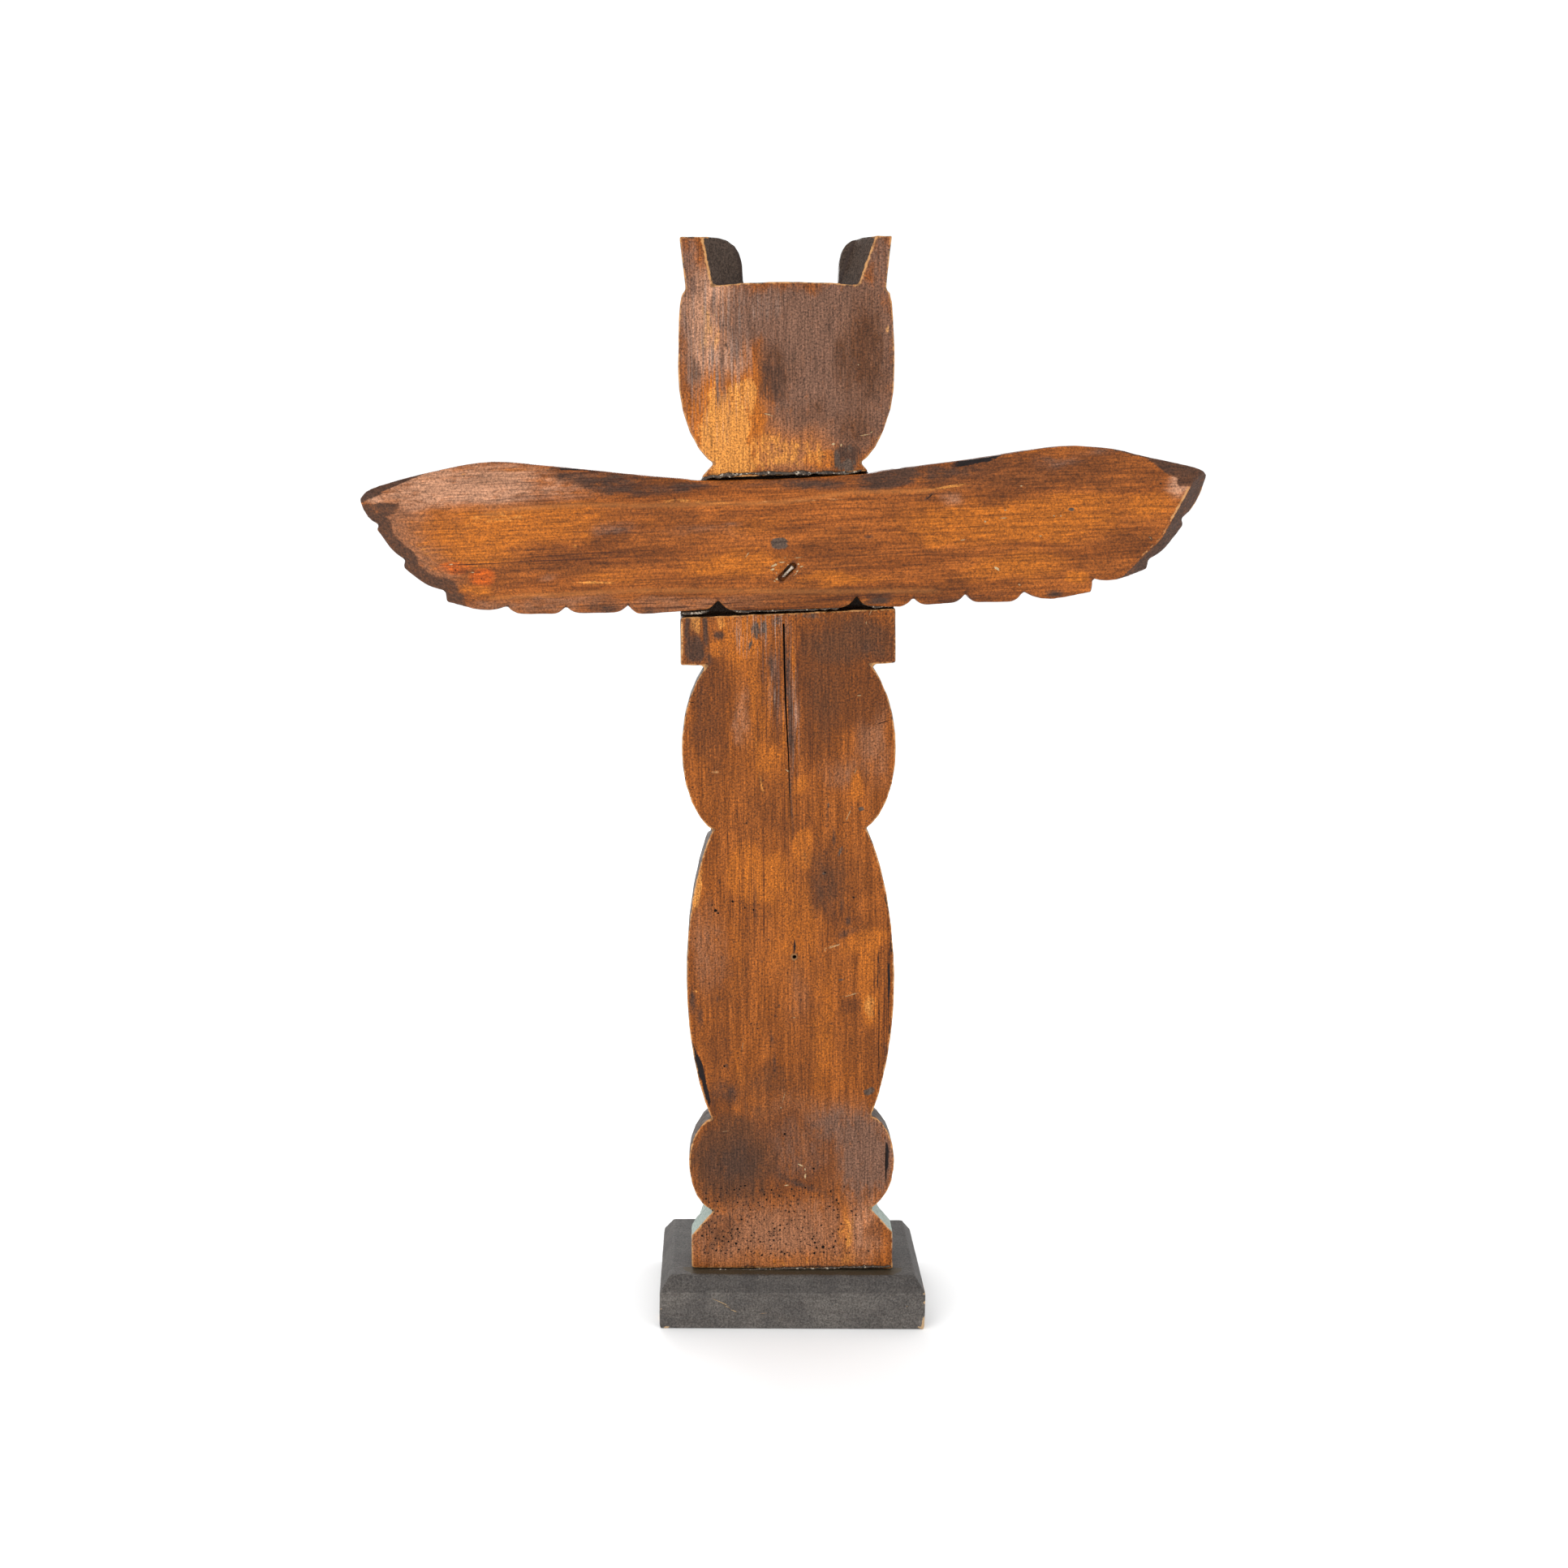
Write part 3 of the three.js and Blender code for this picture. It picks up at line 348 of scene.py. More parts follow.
        (6, 504, 34, 20, 0, 9, 0.9), (50, 345, 11, 34, 0, 8, 0.9), (32, 312, 14, 10, 0, 7, 0.6),
        (48, 180, 3, 40, 0, 5, 0.3), (3, 180, 7, 24, 0, 6, 0.5), (-50, 205, 10, 30, 0, 7, 0.6),
        (-5, 25, 60, 28, 0, 14, 0.6), (15, 80, 50, 34, 0, 12, 0.55),
    ],
    "brown": [
        (34, 370, 34, 36, 0, 9, 0.9), (15, 335, 12, 28, 0, 7, 0.6), (30, 342, 5, 22, 0, 4, 0.5),
        (-46, 350, 8, 45, 0, 4, 0.75), (-41, 345, 4.6, 40, 0, 1, 0.5), (22, 262, 4, 12, 0, 2, 0.4),
        (17, 240, 10, 14, 0, 6, 0.95), (28, 226, 10, 14, 0, 6, 0.65), (38, 166, 6, 5, 0, 2, 0.7),
        (40, 146, 12, 26, 0, 6, 0.45), (14, 142, 7, 24, 0, 4, 0.7), (12, 160, 18, 4, 0, 3, 0.4),
        (-22, 262, 1, 16, 0, 1, 0.5), (-14, 150, 4, 14, 0, 4, 0.5), (-18, 128, 8, 6, 0, 4, 0.55),
        (-44, 140, 8, 24, 0, 5, 0.6), (-45, 100, 8, 14, 0, 4, 0.7), (0, 76, 30, 28, 0, 9, 0.75),
        (52, 24, 6, 10, 0, 3, 0.55), (-42, 25, 6, 10, 0, 4, 0.45),
    ],
    "black": [
        (58, 230, 1.4, 6, 12, 0.8, 1.0), (60.6, 212, 0.7, 14, 3, 0.5, 0.9),
        (53.5, 190, 0.5, 12, 0, 0.6, 0.9), (53, 152, 0.35, 30, -0.5, 0.5, 0.85),
        (55, 140, 0.35, 26, 0, 0.5, 0.8), (59.5, 182, 0.8, 22, 0, 0.6, 0.9), (60, 152, 0.7, 14, 2, 0.6, 0.9),
        (2.3, 205, 0.8, 5, 0, 0.6, 0.9), (2.4, 190, 0.7, 9, 0, 0.6, 0.85),
        (-56.3, 133, 2.4, 14, 15.7, 0.8, 1.0), (-52, 116, 1.6, 9, 12, 0.8, 1.0),
        (57.6, 72, 0.9, 9, 0, 0.6, 0.95),
    ],
    "lines": [
        (56, 160, 6, 40, 0, 3, 0.9), (-20, 240, 20, 34, 0, 8, 0.6), (0, 345, 16, 60, 0, 8, 0.8),
    ],
}

# Stains, wear and painted sheen on the wing board's back, each kind from the left to the right as seen from
# behind
WING_MARKS = {
    # the pale patches at the top left are partly painted sheen
    "haze_and_sheen": [
        (-185, 40, 46, 13, 0, 9, 0.95), (-215, 30, 16, 10, -20, 6, 0.7), (-135, 38, 26, 8, 0, 8, 0.6),
        (-235, 36, 7, 2.4, -20, 2, 0.8), (-138, -14, 6, 4, 0, 3, 0.4), (95, 22, 5, 3, 0, 3, 0.6),
        (227, 26, 10, 6, 50, 4, 1.0), (230, 25, 5, 3, 62, 2.5, 0.9),
    ],
    "bruise_and_shade": [
        (-170, 44, 30, 5, 2, 5, 0.4), (120, 40, 34, 4, 5, 4, 0.4),
    ],
    "cream": [
        (-238, 36.5, 3, 0.8, -20, 1, 0.5),
    ],
    "orange": [
        (-158, 17, 52, 11, 2, 6, 1.0), (-180, 3, 26, 9, 0, 6, 0.85), (-80, 16, 26, 6, 0, 6, 0.35),
        (-155, 49, 12, 1.4, -4, 1, 0.6), (-180, -18, 10, 3, -10, 2, 0.7), (-32, -10, 28, 7, 0, 4, 0.9),
        (-20, 12, 22, 7, 0, 5, 0.5), (30, -21, 26, 3.4, 0, 2.5, 0.85), (-100, -14, 24, 5, 0, 4, 0.6),
        (143, 47, 6, 0.8, 6, 0.8, 0.7), (130, 8, 60, 12, 0, 6, 0.95), (168, 15, 24, 7, 0, 4, 0.9),
        (205, 13, 18, 7, 0, 5, 0.8), (85, 4, 8, 9, 0, 3, 0.85), (130, -18, 30, 9, 0, 5, 0.8),
        (167, -26, 7, 3.6, 0, 1.2, 1.0),
    ],
    "amber": [
        (-165, 22, 34, 4, 2, 4, 0.5), (-122, 5, 3, 10, 0, 2.5, 0.4), (-60, 20, 24, 3, 0, 3, 0.35),
        (-205, 6, 12, 6, -40, 5, 0.4), (-113, -17.5, 17, 1.2, 0, 1, 0.6), (-184, 48, 3, 0.8, 10, 0.8, 0.6),
        (-206, 12, 3, 26, 40, 4, 0.35), (-52, 26.5, 26, 1.8, 0, 2, 0.6), (52, 26.5, 22, 1.4, 2, 2, 0.5),
        (8, 25, 46, 2.4, 0.5, 2.4, 0.45), (-34, -10, 16, 3, 0, 3, 0.45), (92, 28.5, 22, 1, 5, 1, 0.65),
        (95, 39.5, 2.4, 0.8, 8, 0.6, 0.6), (130, 43, 6, 0.6, 18, 0.6, 0.5), (160, 2, 40, 3, 1, 3, 0.35),
        (168, 16, 8, 3, 0, 3, 0.35),
    ],
    "dusk": [
        (-48, 10, 34, 5, 0, 4, 0.5), (-212, 8, 12, 28, 42, 6, 0.9), (-150, -29, 60, 5, 0, 3, 0.7),
        (-60, -31, 70, 5, 0, 2.4, 0.6), (130, 34, 60, 8, 3, 6, 0.5),
    ],
    "lines": [
        (-150, -2, 48, 6, 0.3, 1.5, 1.0), (-108, 0, 20, 3, 0, 2, 0.8), (0, -33, 100, 6, 0, 3, 0.8),
        (60, 8, 60, 20, 0, 8, 0.35), (-90, 38, 60, 10, 0, 5, 0.7),
    ],
    "brown": [
        (-130, -4, 36, 8, 0, 4, 0.6), (-140, -14, 30, 5, 0, 4, 0.4), (-103, 8, 14, 14, 0, 5, 0.6),
        (-75, 36, 20, 7, 0, 3, 0.85), (20, 0, 26, 7, 0, 5, 0.5), (-75, 0, 18, 12, 0, 5, 0.5),
        (40, -31, 80, 5.5, 0.5, 2.4, 0.6), (140, 35, 80, 12, 0, 7, 0.65), (120, 22, 22, 6, 0, 4, 0.6),
        (195, -5, 16, 9, 0, 5, 0.6),
    ],
    "grey": [
        (-100, 13, 14, 6, 0, 3, 0.55), (-32, 14, 8, 1.6, 0, 1.4, 0.5), (158, 41, 14, 4, 0, 3, 0.5),
        (180, 45, 12, 3, -8, 3, 0.5),
    ],
    "dark": [
        (-103, 39, 19, 5, -4, 3, 0.85), (-123, 43, 8, 3, -15, 2, 0.7),
        (-176.8, -12.4, 1.7, 1.7, 0, 0.8, 0.8), (-191.6, -6.6, 1.1, 1.1, 0, 0.7, 0.8),
        (-108, -33, 16, 3, 0, 2, 0.6), (-57, 35.5, 15, 2.4, 3, 1.6, 0.8), (-78, 34, 16, 3.4, 0, 2, 0.6),
        (-20, 35.5, 13, 1.6, 0, 1.4, 0.6), (15, 34.5, 24, 3.4, -2, 2, 0.8), (62, 37, 22, 6, 3, 3, 0.85),
        (-5, 1.2, 2.6, 2, 0, 1.4, 0.7), (47, 3, 3, 1.4, 0, 1, 0.7), (30, 8.5, 2, 0.9, 0, 0.8, 0.6),
        (-48, -4, 1.6, 1, 0, 0.8, 0.6), (-85, -34, 14, 3, 0, 2, 0.5), (52, -33, 8, 3.4, 0, 2, 0.8),
        (93, 36, 20, 5.5, 4, 3, 0.65), (82.5, 24, 3.4, 0.8, 38, 0.6, 0.85), (154, -35, 6, 2, 0, 1.5, 0.7),
        (100, -35, 30, 3, 0, 2, 0.45),
    ],
    "black": [
        (-108, 47, 26, 1.2, -5, 0.9, 0.9), (112, 43.5, 15, 2.4, 9, 1.4, 0.85),
    ],
    "red": [
        (-192, -5, 8, 2.6, -8, 2, 0.75), (-176, -11.5, 7, 4.2, -12, 2, 0.8),
    ],
    "slate": [
        (-170, -29, 8, 2, 0, 2, 0.4), (-5.2, 1.4, 4.6, 3.8, 0, 1.4, 0.95), (164, 12.5, 2, 1.2, 0, 0.7, 0.8),
    ],
    "pale": [
        (-13, 25, 9, 1.2, 0, 1.4, 0.6), (9, 24.8, 12, 1.0, 2, 1.2, 0.65), (28, 25, 9, 0.9, 2, 1.2, 0.6),
        (112, 12, 3, 0.5, 0, 0.6, 0.5),
    ],
}


# Materials
def node(tree, kind, inputs=None, **settings):
    made = tree.nodes.new(kind)
    for key, value in settings.items():
        setattr(made, key, value)
    for key, value in (inputs or {}).items():
        if isinstance(value, bpy.types.NodeSocket):
            tree.links.new(value, made.inputs[key])
        else:
            made.inputs[key].default_value = value
    return made


def new_material(name):
    material = bpy.data.materials.new(name)
    material.use_nodes = True
    material.node_tree.nodes.clear()
    return material


# A colour as it looks under the studio light, turned into the colour of the surface itself
LIGHT = 1.4
GLOSS = 0.02


def tone(red, green, blue):
    def surface(value):
        share = value / 255
        seen = share / 12.92 if share <= 0.04045 else ((share + 0.055) / 1.055) ** 2.4
        return max(0.004, seen - GLOSS) / LIGHT
    return (surface(red), surface(green), surface(blue), 1.0)


def own_coordinates(tree, own_frame):
    where = node(tree, "ShaderNodeTexCoord").outputs["Object"]
    turn = own_frame.to_euler()
    mapping = node(tree, "ShaderNodeMapping", {
        "Vector": where,
        "Location": [value * MM for value in own_frame.translation],
        "Rotation": turn,
        "Scale": (MM, MM, MM),
    }, vector_type="TEXTURE")
    return mapping.outputs["Vector"]


def stretched(tree, vector, by):
    return node(tree, "ShaderNodeVectorMath", {0: vector, 1: by}, operation="MULTIPLY").outputs[0]


def noise(tree, vector, scale, detail=2.0, roughness=0.5):
    return node(tree, "ShaderNodeTexNoise", {
        "Vector": vector, "Scale": scale, "Detail": detail, "Roughness": roughness,
    }).outputs["Fac"]


def math_node(tree, operation, first, second=0.0, third=0.0):
    return node(tree, "ShaderNodeMath", {0: first, 1: second, 2: third}, operation=operation).outputs[0]


def ramped(tree, value, low, high, to_low=0.0, to_high=1.0, kind="SMOOTHSTEP"):
    return node(tree, "ShaderNodeMapRange", {
        "Value": value, "From Min": low, "From Max": high, "To Min": to_low, "To Max": to_high,
    }, interpolation_type=kind).outputs["Result"]


def mixed(tree, share, first, second, blend="MIX"):
    made = node(tree, "ShaderNodeMix", {"Factor": share}, data_type="RGBA", blend_type=blend)
    for slot_number, value in ((6, first), (7, second)):
        if isinstance(value, bpy.types.NodeSocket):
            tree.links.new(value, made.inputs[slot_number])
        else:
            made.inputs[slot_number].default_value = value
    return made.outputs[2]


# A colour made lighter and darker by a factor that varies over the surface
def varied(tree, colour, factor):
    shade = node(tree, "ShaderNodeCombineXYZ", {"X": factor, "Y": factor, "Z": factor}).outputs[0]
    return mixed(tree, 1.0, colour, shade, "MULTIPLY")


def bumped(tree, height, strength, distance):
    return node(tree, "ShaderNodeBump", {
        "Strength": strength, "Distance": distance, "Height": height,
    }).outputs["Normal"]


def shaded(material, sockets):
    tree = material.node_tree
    shader = node(tree, "ShaderNodeBsdfPrincipled", sockets)
    output = node(tree, "ShaderNodeOutputMaterial")
    tree.links.new(shader.outputs[0], output.inputs["Surface"])
    return material


def number_of(tree, name):
    return node(tree, "ShaderNodeAttribute", attribute_name=name).outputs["Fac"]


def three_of(tree, name):
    made = node(tree, "ShaderNodeAttribute", attribute_name=name)
    split = node(tree, "ShaderNodeSeparateXYZ", {"Vector": made.outputs["Vector"]})
    return [split.outputs[axis] for axis in ("X", "Y", "Z")]


# Colours of the stains, with painted sheen among the pale patches and painted shade among the dark ones, in
# the order in which they lie over each other
STAINS = {
    "haze_and_sheen": (199, 146, 115),
    "dusk": (158, 106, 76),
    "brown": (124, 74, 45),
    "orange": (190, 110, 48),
    "amber": (226, 150, 76),
    "grey": (131, 97, 80),
    "bruise_and_shade": (108, 72, 52),
    "dark": (90, 67, 56),
    "slate": (98, 82, 72),
    "pale": (216, 158, 104),
    "red": (206, 100, 16),
    "cream": (236, 214, 184),
    "black": (48, 42, 39),
}
CRISP = ("amber", "slate", "pale", "cream", "black")
# Paints on the carved side, each between two tones; the dark one is also painted shade inside the wing slot
PAINTS = [
    ("teal_paint", (148, 164, 156), (192, 204, 194)),
    ("dark_paint", (60, 50, 44), (98, 82, 72)),
    ("cream_paint", (176, 154, 120), (204, 182, 146)),
    ("ochre_paint", (168, 112, 52), (192, 136, 70)),
]


# Stained wood: the grain runs along one axis of the piece's own frame
def stained_wood(name, own_frame, along, base, light_base, roughness, speckled):
    material = new_material(name)
    tree = material.node_tree
    at = own_coordinates(tree, own_frame)

    def grain(across, length, detail, rough=0.6):
        scales = [across] * 3
        scales[along] = length
        return noise(tree, stretched(tree, at, scales), 1.0, detail, rough)

    fibres = grain(1.0, 0.05, 3.0, 0.65)
    streaks = grain(0.2, 0.013, 3.0, 0.6)
    ragged = grain(0.3, 0.11, 6.0, 0.78)
    speckle = noise(tree, at, 0.85, 3.0, 0.75)
    cloud = noise(tree, at, 0.03, 3.0, 0.6)
    edge_noise = noise(tree, at, 0.35, 4.0, 0.7)

    colour = mixed(tree, ramped(tree, streaks, 0.38, 0.62), tone(*base), tone(*light_base))
    colour = mixed(tree, ramped(tree, cloud, 0.45, 0.7, 0.0, 0.6), colour, tone(*STAINS["brown"]))
    shares = {}
    for group, kinds in GROUPS.items():
        shares.update(zip(kinds, three_of(tree, group)))
    tear = math_node(tree, "MULTIPLY_ADD", ragged, 2.6, -0.3)
    for kind, stain in STAINS.items():
        low, high = (0.36, 0.64) if kind in CRISP else (0.15, 0.85)
        broken = math_node(tree, "MULTIPLY", shares[kind], tear)
        colour = mixed(tree, ramped(tree, broken, low, high), colour, tone(*stain))
    scratch = math_node(tree, "MULTIPLY", ramped(tree, grain(1.1, 0.03, 2.0), 0.5, 0.6), shares["fibre"])
    colour = mixed(tree, scratch, colour, tone(158, 132, 118))
    lined = math_node(tree, "MULTIPLY_ADD", shares["lines"], 0.75, 0.2)
    lined = math_node(tree, "MULTIPLY", ramped(tree, grain(0.9, 0.01, 2.0), 0.55, 0.63), lined)
    colour = mixed(tree, lined, colour, tone(86, 54, 36))
    # Grain and speckle run through every stain; the speckle's light spots are partly painted glints on the
    # varnish
    fibre_tone = ramped(tree, fibres, 0.3, 0.7, 0.56, 1.44, "LINEAR")
    speckle_tone = ramped(tree, speckle, 0.32, 0.68, 1 - speckled, 1 + speckled, "LINEAR")
    both = math_node(tree, "MULTIPLY", fibre_tone, speckle_tone)
    colour = varied(tree, colour, both)
    # Muted paint on the carved front and sides, and painted shade inside the wing slot
    torn = math_node(tree, "MULTIPLY_ADD", ragged, 0.9, -0.45)
    for kind, first, second in PAINTS:
        covered = ramped(tree, math_node(tree, "ADD", number_of(tree, kind), torn), 0.42, 0.56)
        mottled = mixed(tree, ramped(tree, speckle, 0.35, 0.65), tone(*first), tone(*second))
        colour = mixed(tree, covered, colour, mottled)
    # Bare, rubbed edges, ridges lightened by polish and by a painted highlight, and painted shade darkening
    # the corners
    for near, pattern, ragged_by, far, close, strength, worn in (
        ("edge", edge_noise, 2.8, 2.7, 1.9, 0.85, (232, 172, 112)),
        # ridges: polish and a painted highlight
        ("ridge", ragged, 4.0, 4.4, 2.0, 0.35, (204, 134, 76)),
        # corners: painted shade
        ("corner", edge_noise, 2.4, 3.2, 1.2, 0.75, (58, 46, 40)),
    ):
        distance = math_node(tree, "MULTIPLY_ADD", pattern, ragged_by, number_of(tree, near))
        share = math_node(tree, "MULTIPLY", ramped(tree, distance, far, close), strength)
        colour = mixed(tree, share, colour, tone(*worn))

    rough = ramped(tree, ragged, 0.3, 0.7, roughness - 0.08, roughness + 0.1)
    height = math_node(tree, "MULTIPLY_ADD", fibres, 0.6, speckle)
    return shaded(material, {
        "Base Color": colour, "Roughness": rough, "Normal": bumped(tree, height, 0.5, 0.35 * MM),
        "Specular IOR Level": 0.2,
    })


def plain_finish(name, first, second, scale, roughness, metallic=0.0, flecks=None):
    material = new_material(name)
    tree = material.node_tree
    at = own_coordinates(tree, PLINTH_FRAME)
    pattern = noise(tree, at, scale, 4.0, 0.65)
    colour = mixed(tree, ramped(tree, pattern, 0.35, 0.65), tone(*first), tone(*second))
    if flecks:
        spot = ramped(tree, noise(tree, at, 0.55, 2.0), 0.6, 0.66)
        colour = mixed(tree, spot, colour, tone(*flecks))
    return shaded(material, {
        "Base Color": colour, "Roughness": roughness, "Metallic": metallic,
        "Normal": bumped(tree, pattern, 0.5, 0.2 * MM), "Specular IOR Level": 0.4,
    })


def black_paint():
    material = new_material("black_paint")
    tree = material.node_tree
    at = own_coordinates(tree, PLINTH_FRAME)
    speckle = noise(tree, at, 0.9, 3.0, 0.65)
    cloud = noise(tree, at, 0.05, 3.0, 0.6)
    brushed = noise(tree, stretched(tree, at, (0.08, 0.5, 0.7)), 1.0, 3.0, 0.6)
    edge_noise = noise(tree, at, 0.3, 3.0, 0.65)
    colour = mixed(tree, ramped(tree, cloud, 0.35, 0.65), tone(97, 93, 90), tone(114, 109, 104))
    # Light flecks on the paint: painted glints
    glint_fleck = ramped(tree, noise(tree, at, 0.6, 3.0, 0.7), 0.66, 0.72, 0.0, 0.6)
    colour = mixed(tree, glint_fleck, colour, tone(170, 154, 136))
    colour = mixed(tree, ramped(tree, brushed, 0.35, 0.7, 0.0, 0.5), colour, tone(90, 84, 80))
    # The chamfer is darkened: painted shade on the faces that tilt up away from the front light
    chamfer = math_node(tree, "MULTIPLY", number_of(tree, "upper"), 0.4)
    colour = mixed(tree, chamfer, colour, tone(64, 61, 60))
    # The speckle's light spots are partly painted glints
    tone_change = ramped(tree, speckle, 0.3, 0.7, 0.4, 1.65, "LINEAR")
    colour = varied(tree, colour, tone_change)
    edge = number_of(tree, "edge")
    rub = ramped(tree, math_node(tree, "ADD", edge, math_node(tree, "MULTIPLY", edge_noise, 2.6)), 2.0, 1.1)
    colour = mixed(tree, math_node(tree, "MULTIPLY", rub, 0.6), colour, tone(134, 128, 122))
    lump = math_node(tree, "SUBTRACT", edge_noise, 0.5)
    chipped = ramped(tree, math_node(tree, "ADD", number_of(tree, "bare"), lump), 0.5, 0.62)
    colour = mixed(tree, chipped, colour, tone(206, 172, 132))
    glue = ramped(tree, math_node(tree, "ADD", number_of(tree, "smear"), lump), 0.45, 0.75)
    colour = mixed(tree, math_node(tree, "MULTIPLY", glue, 0.7), colour, tone(86, 74, 54))
    return shaded(material, {
        "Base Color": colour, "Roughness": 0.62, "Normal": bumped(tree, speckle, 0.4, 0.3 * MM),
        "Specular IOR Level": 0.25,
    })


pole_wood = stained_wood("pole_wood", POLE_FRAME, 2, (142, 82, 43), (172, 100, 50), 0.5, 0.8)
wing_wood = stained_wood("wing_wood", WING_FRAME, 0, (146, 84, 46), (176, 102, 52), 0.42, 0.58)
bare_wood = plain_finish("bare_wood", (236, 214, 176), (206, 168, 118), 1.2, 0.75)
# Floors of the cracks, pits, splits and the gouge: dark wood with painted shade in them
shaded_cut_floor = plain_finish("shaded_cut_floor", (40, 30, 25), (62, 48, 40), 1.2, 0.8)
glue_black = plain_finish("dried_glue", (44, 38, 34), (100, 84, 70), 0.9, 0.35, flecks=(196, 180, 160))
steel = plain_finish("dull_steel", (236, 224, 208), (190, 160, 132), 1.2, 0.4, 0.4)
paint = black_paint()


# Shallow cutters: ragged chips, scratches and cracks, whose floor shows another finish; the dark floors of
# cracks, pits and holes are darkened wood with painted shade
random = np.random.default_rng(7)


def prism(own_frame, outline, surface, deep, taper):
    centre = np.mean(outline, axis=0)
    count = len(outline)
    points = [(-u, surface + 1.0, v) for u, v in outline]
    points += [(-(centre[0] + (u - centre[0]) * taper), surface - deep, centre[1] + (v - centre[1]) * taper)
               for u, v in outline]
    faces = [tuple(range(count)), tuple(reversed(range(count, 2 * count)))]
    faces += [((i + 1) % count, i, i + count, (i + 1) % count + count) for i in range(count)]
    return [own_frame @ Vector(point) * MM for point in points], faces


def ragged_oval(u, v, half_u, half_v, turn=0, count=11, rough=0.28):
    cosine, sine = math.cos(math.radians(turn)), math.sin(math.radians(turn))
    outline = []
    for i in range(count):
        angle = 2 * math.pi * i / count
        size = 1 + rough * (random.random() - 0.5) * 2
        across = half_u * math.cos(angle) * size
        up = half_v * math.sin(angle) * size
        outline.append((u + across * cosine - up * sine, v + across * sine + up * cosine))
    return outline


def cutter_of(name, shapes, finish):
    vertices, faces = [], []
    for points, loops in shapes:
        start = len(vertices)
        vertices += points
        faces += [tuple(start + i for i in loop) for loop in loops]
    mesh = mesh_of(name, vertices, faces, finish)
    work = bmesh.new()
    work.from_mesh(mesh)
    bmesh.ops.recalc_face_normals(work, faces=work.faces)
    work.to_mesh(mesh)
    work.free()
    return object_of(name, mesh)


def cut(piece, cutter):
    boolean = piece.modifiers.new("cut", "BOOLEAN")
    boolean.object = cutter
    boolean.operation = "DIFFERENCE"
    boolean.solver = "MANIFOLD"
    boolean.material_mode = "TRANSFER"
    applied(piece)
    bpy.data.objects.remove(cutter)


# Marks cut into a back: across, up, half width, half height and, where it matters, a turn
def cut_marks(piece, name, own_frame, surface, marks, deep, taper, finish):
    cut(piece, cutter_of(name, [
        prism(own_frame, ragged_oval(*mark), surface, deep, taper) for mark in marks
    ], finish))


# The pole
POLE_GRID = 1.15
POLE_TRIANGLES = 178000
pole = refined("pole", "carved_pole", POLE_GRID)
places = own_places(pole.data, POLE_FRAME)
normals = own_normals(pole.data, POLE_FRAME)
is_back = smooth_step(0.7, 0.95, normals[:, 1]) * smooth_step(-1.5, -0.4, places[:, 1])
tool_marks = np.abs(clouds(places, (7, 7, 15), 11)) * 0.9
uneven = np.abs(clouds(places, (26, 26, 60), 21)) * 0.35
grain_ridges = np.abs(clouds(places, (2.2, 2.2, 30), 31, 1)) * 0.14
inward = np.where(is_back > 0.5, uneven * 0.6 + grain_ridges, uneven + tool_marks * 0.7 + grain_ridges)
pushed_in(pole, POLE_FRAME, inward)

# Only the carved side is thinned out
group = pole.vertex_groups.new(name="coarse")
for weight, chosen in ((0.0, is_back > 0.5), (1.0, is_back <= 0.5)):
    group.add(np.nonzero(chosen)[0].tolist(), weight, "REPLACE")
decimate = pole.modifiers.new("thin_out", "DECIMATE")
decimate.ratio = min(1.0, POLE_TRIANGLES / (len(pole.data.polygons) * 2))
decimate.vertex_group = "coarse"
applied(pole)
painted_with(pole, pole_wood)

# The long crack down from the wings, with its half width at each point
CRACK = [(-2.7, 399), (-2.4, 376), (-2, 355), (-1.2, 337), (-0.3, 319), (0, 300), (0.4, 287), (0.9, 270)]
CRACK_WIDTHS = [0.75, 0.8, 0.7, 0.6, 0.5, 0.3, 0.25, 0.08]


def crack_wedge(path, widths, deep):
    points, faces = [], []
    for (u, v), half in zip(path, widths):
        points += [(-u + half, 1.0, v), (-u - half, 1.0, v), (-u, -deep, v)]
    for i in range(len(path) - 1):
        a = 3 * i
        faces += [(a, a + 3, a + 4, a + 1), (a + 1, a + 4, a + 5, a + 2), (a + 2, a + 5, a + 3, a)]
    last = 3 * (len(path) - 1)
    faces += [(0, 1, 2), (last + 1, last, last + 2)]
    return [POLE_FRAME @ Vector(point) * MM for point in points], faces


# The nail hole and the fine splits: each with its depth and how far it narrows
splits = [
    ((2.4, 198.8, 1.15, 1.15, 0, 14, 0.1), 9, 0.9), ((55.5, 340.3, 5.4, 0.28, 18), 0.5, 0.75),
    ((-58, 353.6, 3.4, 0.25, -12), 0.5, 0.75), ((53.2, 150, 0.22, 28, -0.3, 15), 0.5, 0.75),
    ((57.6, 66, 0.5, 13, 0, 15), 0.8, 0.75),
]
cut(pole, cutter_of("dark_cuts", [crack_wedge(CRACK, CRACK_WIDTHS, 3.5)] + [
    prism(POLE_FRAME, ragged_oval(*mark), 0, deep, taper) for mark, deep, taper in splits
], shaded_cut_floor))

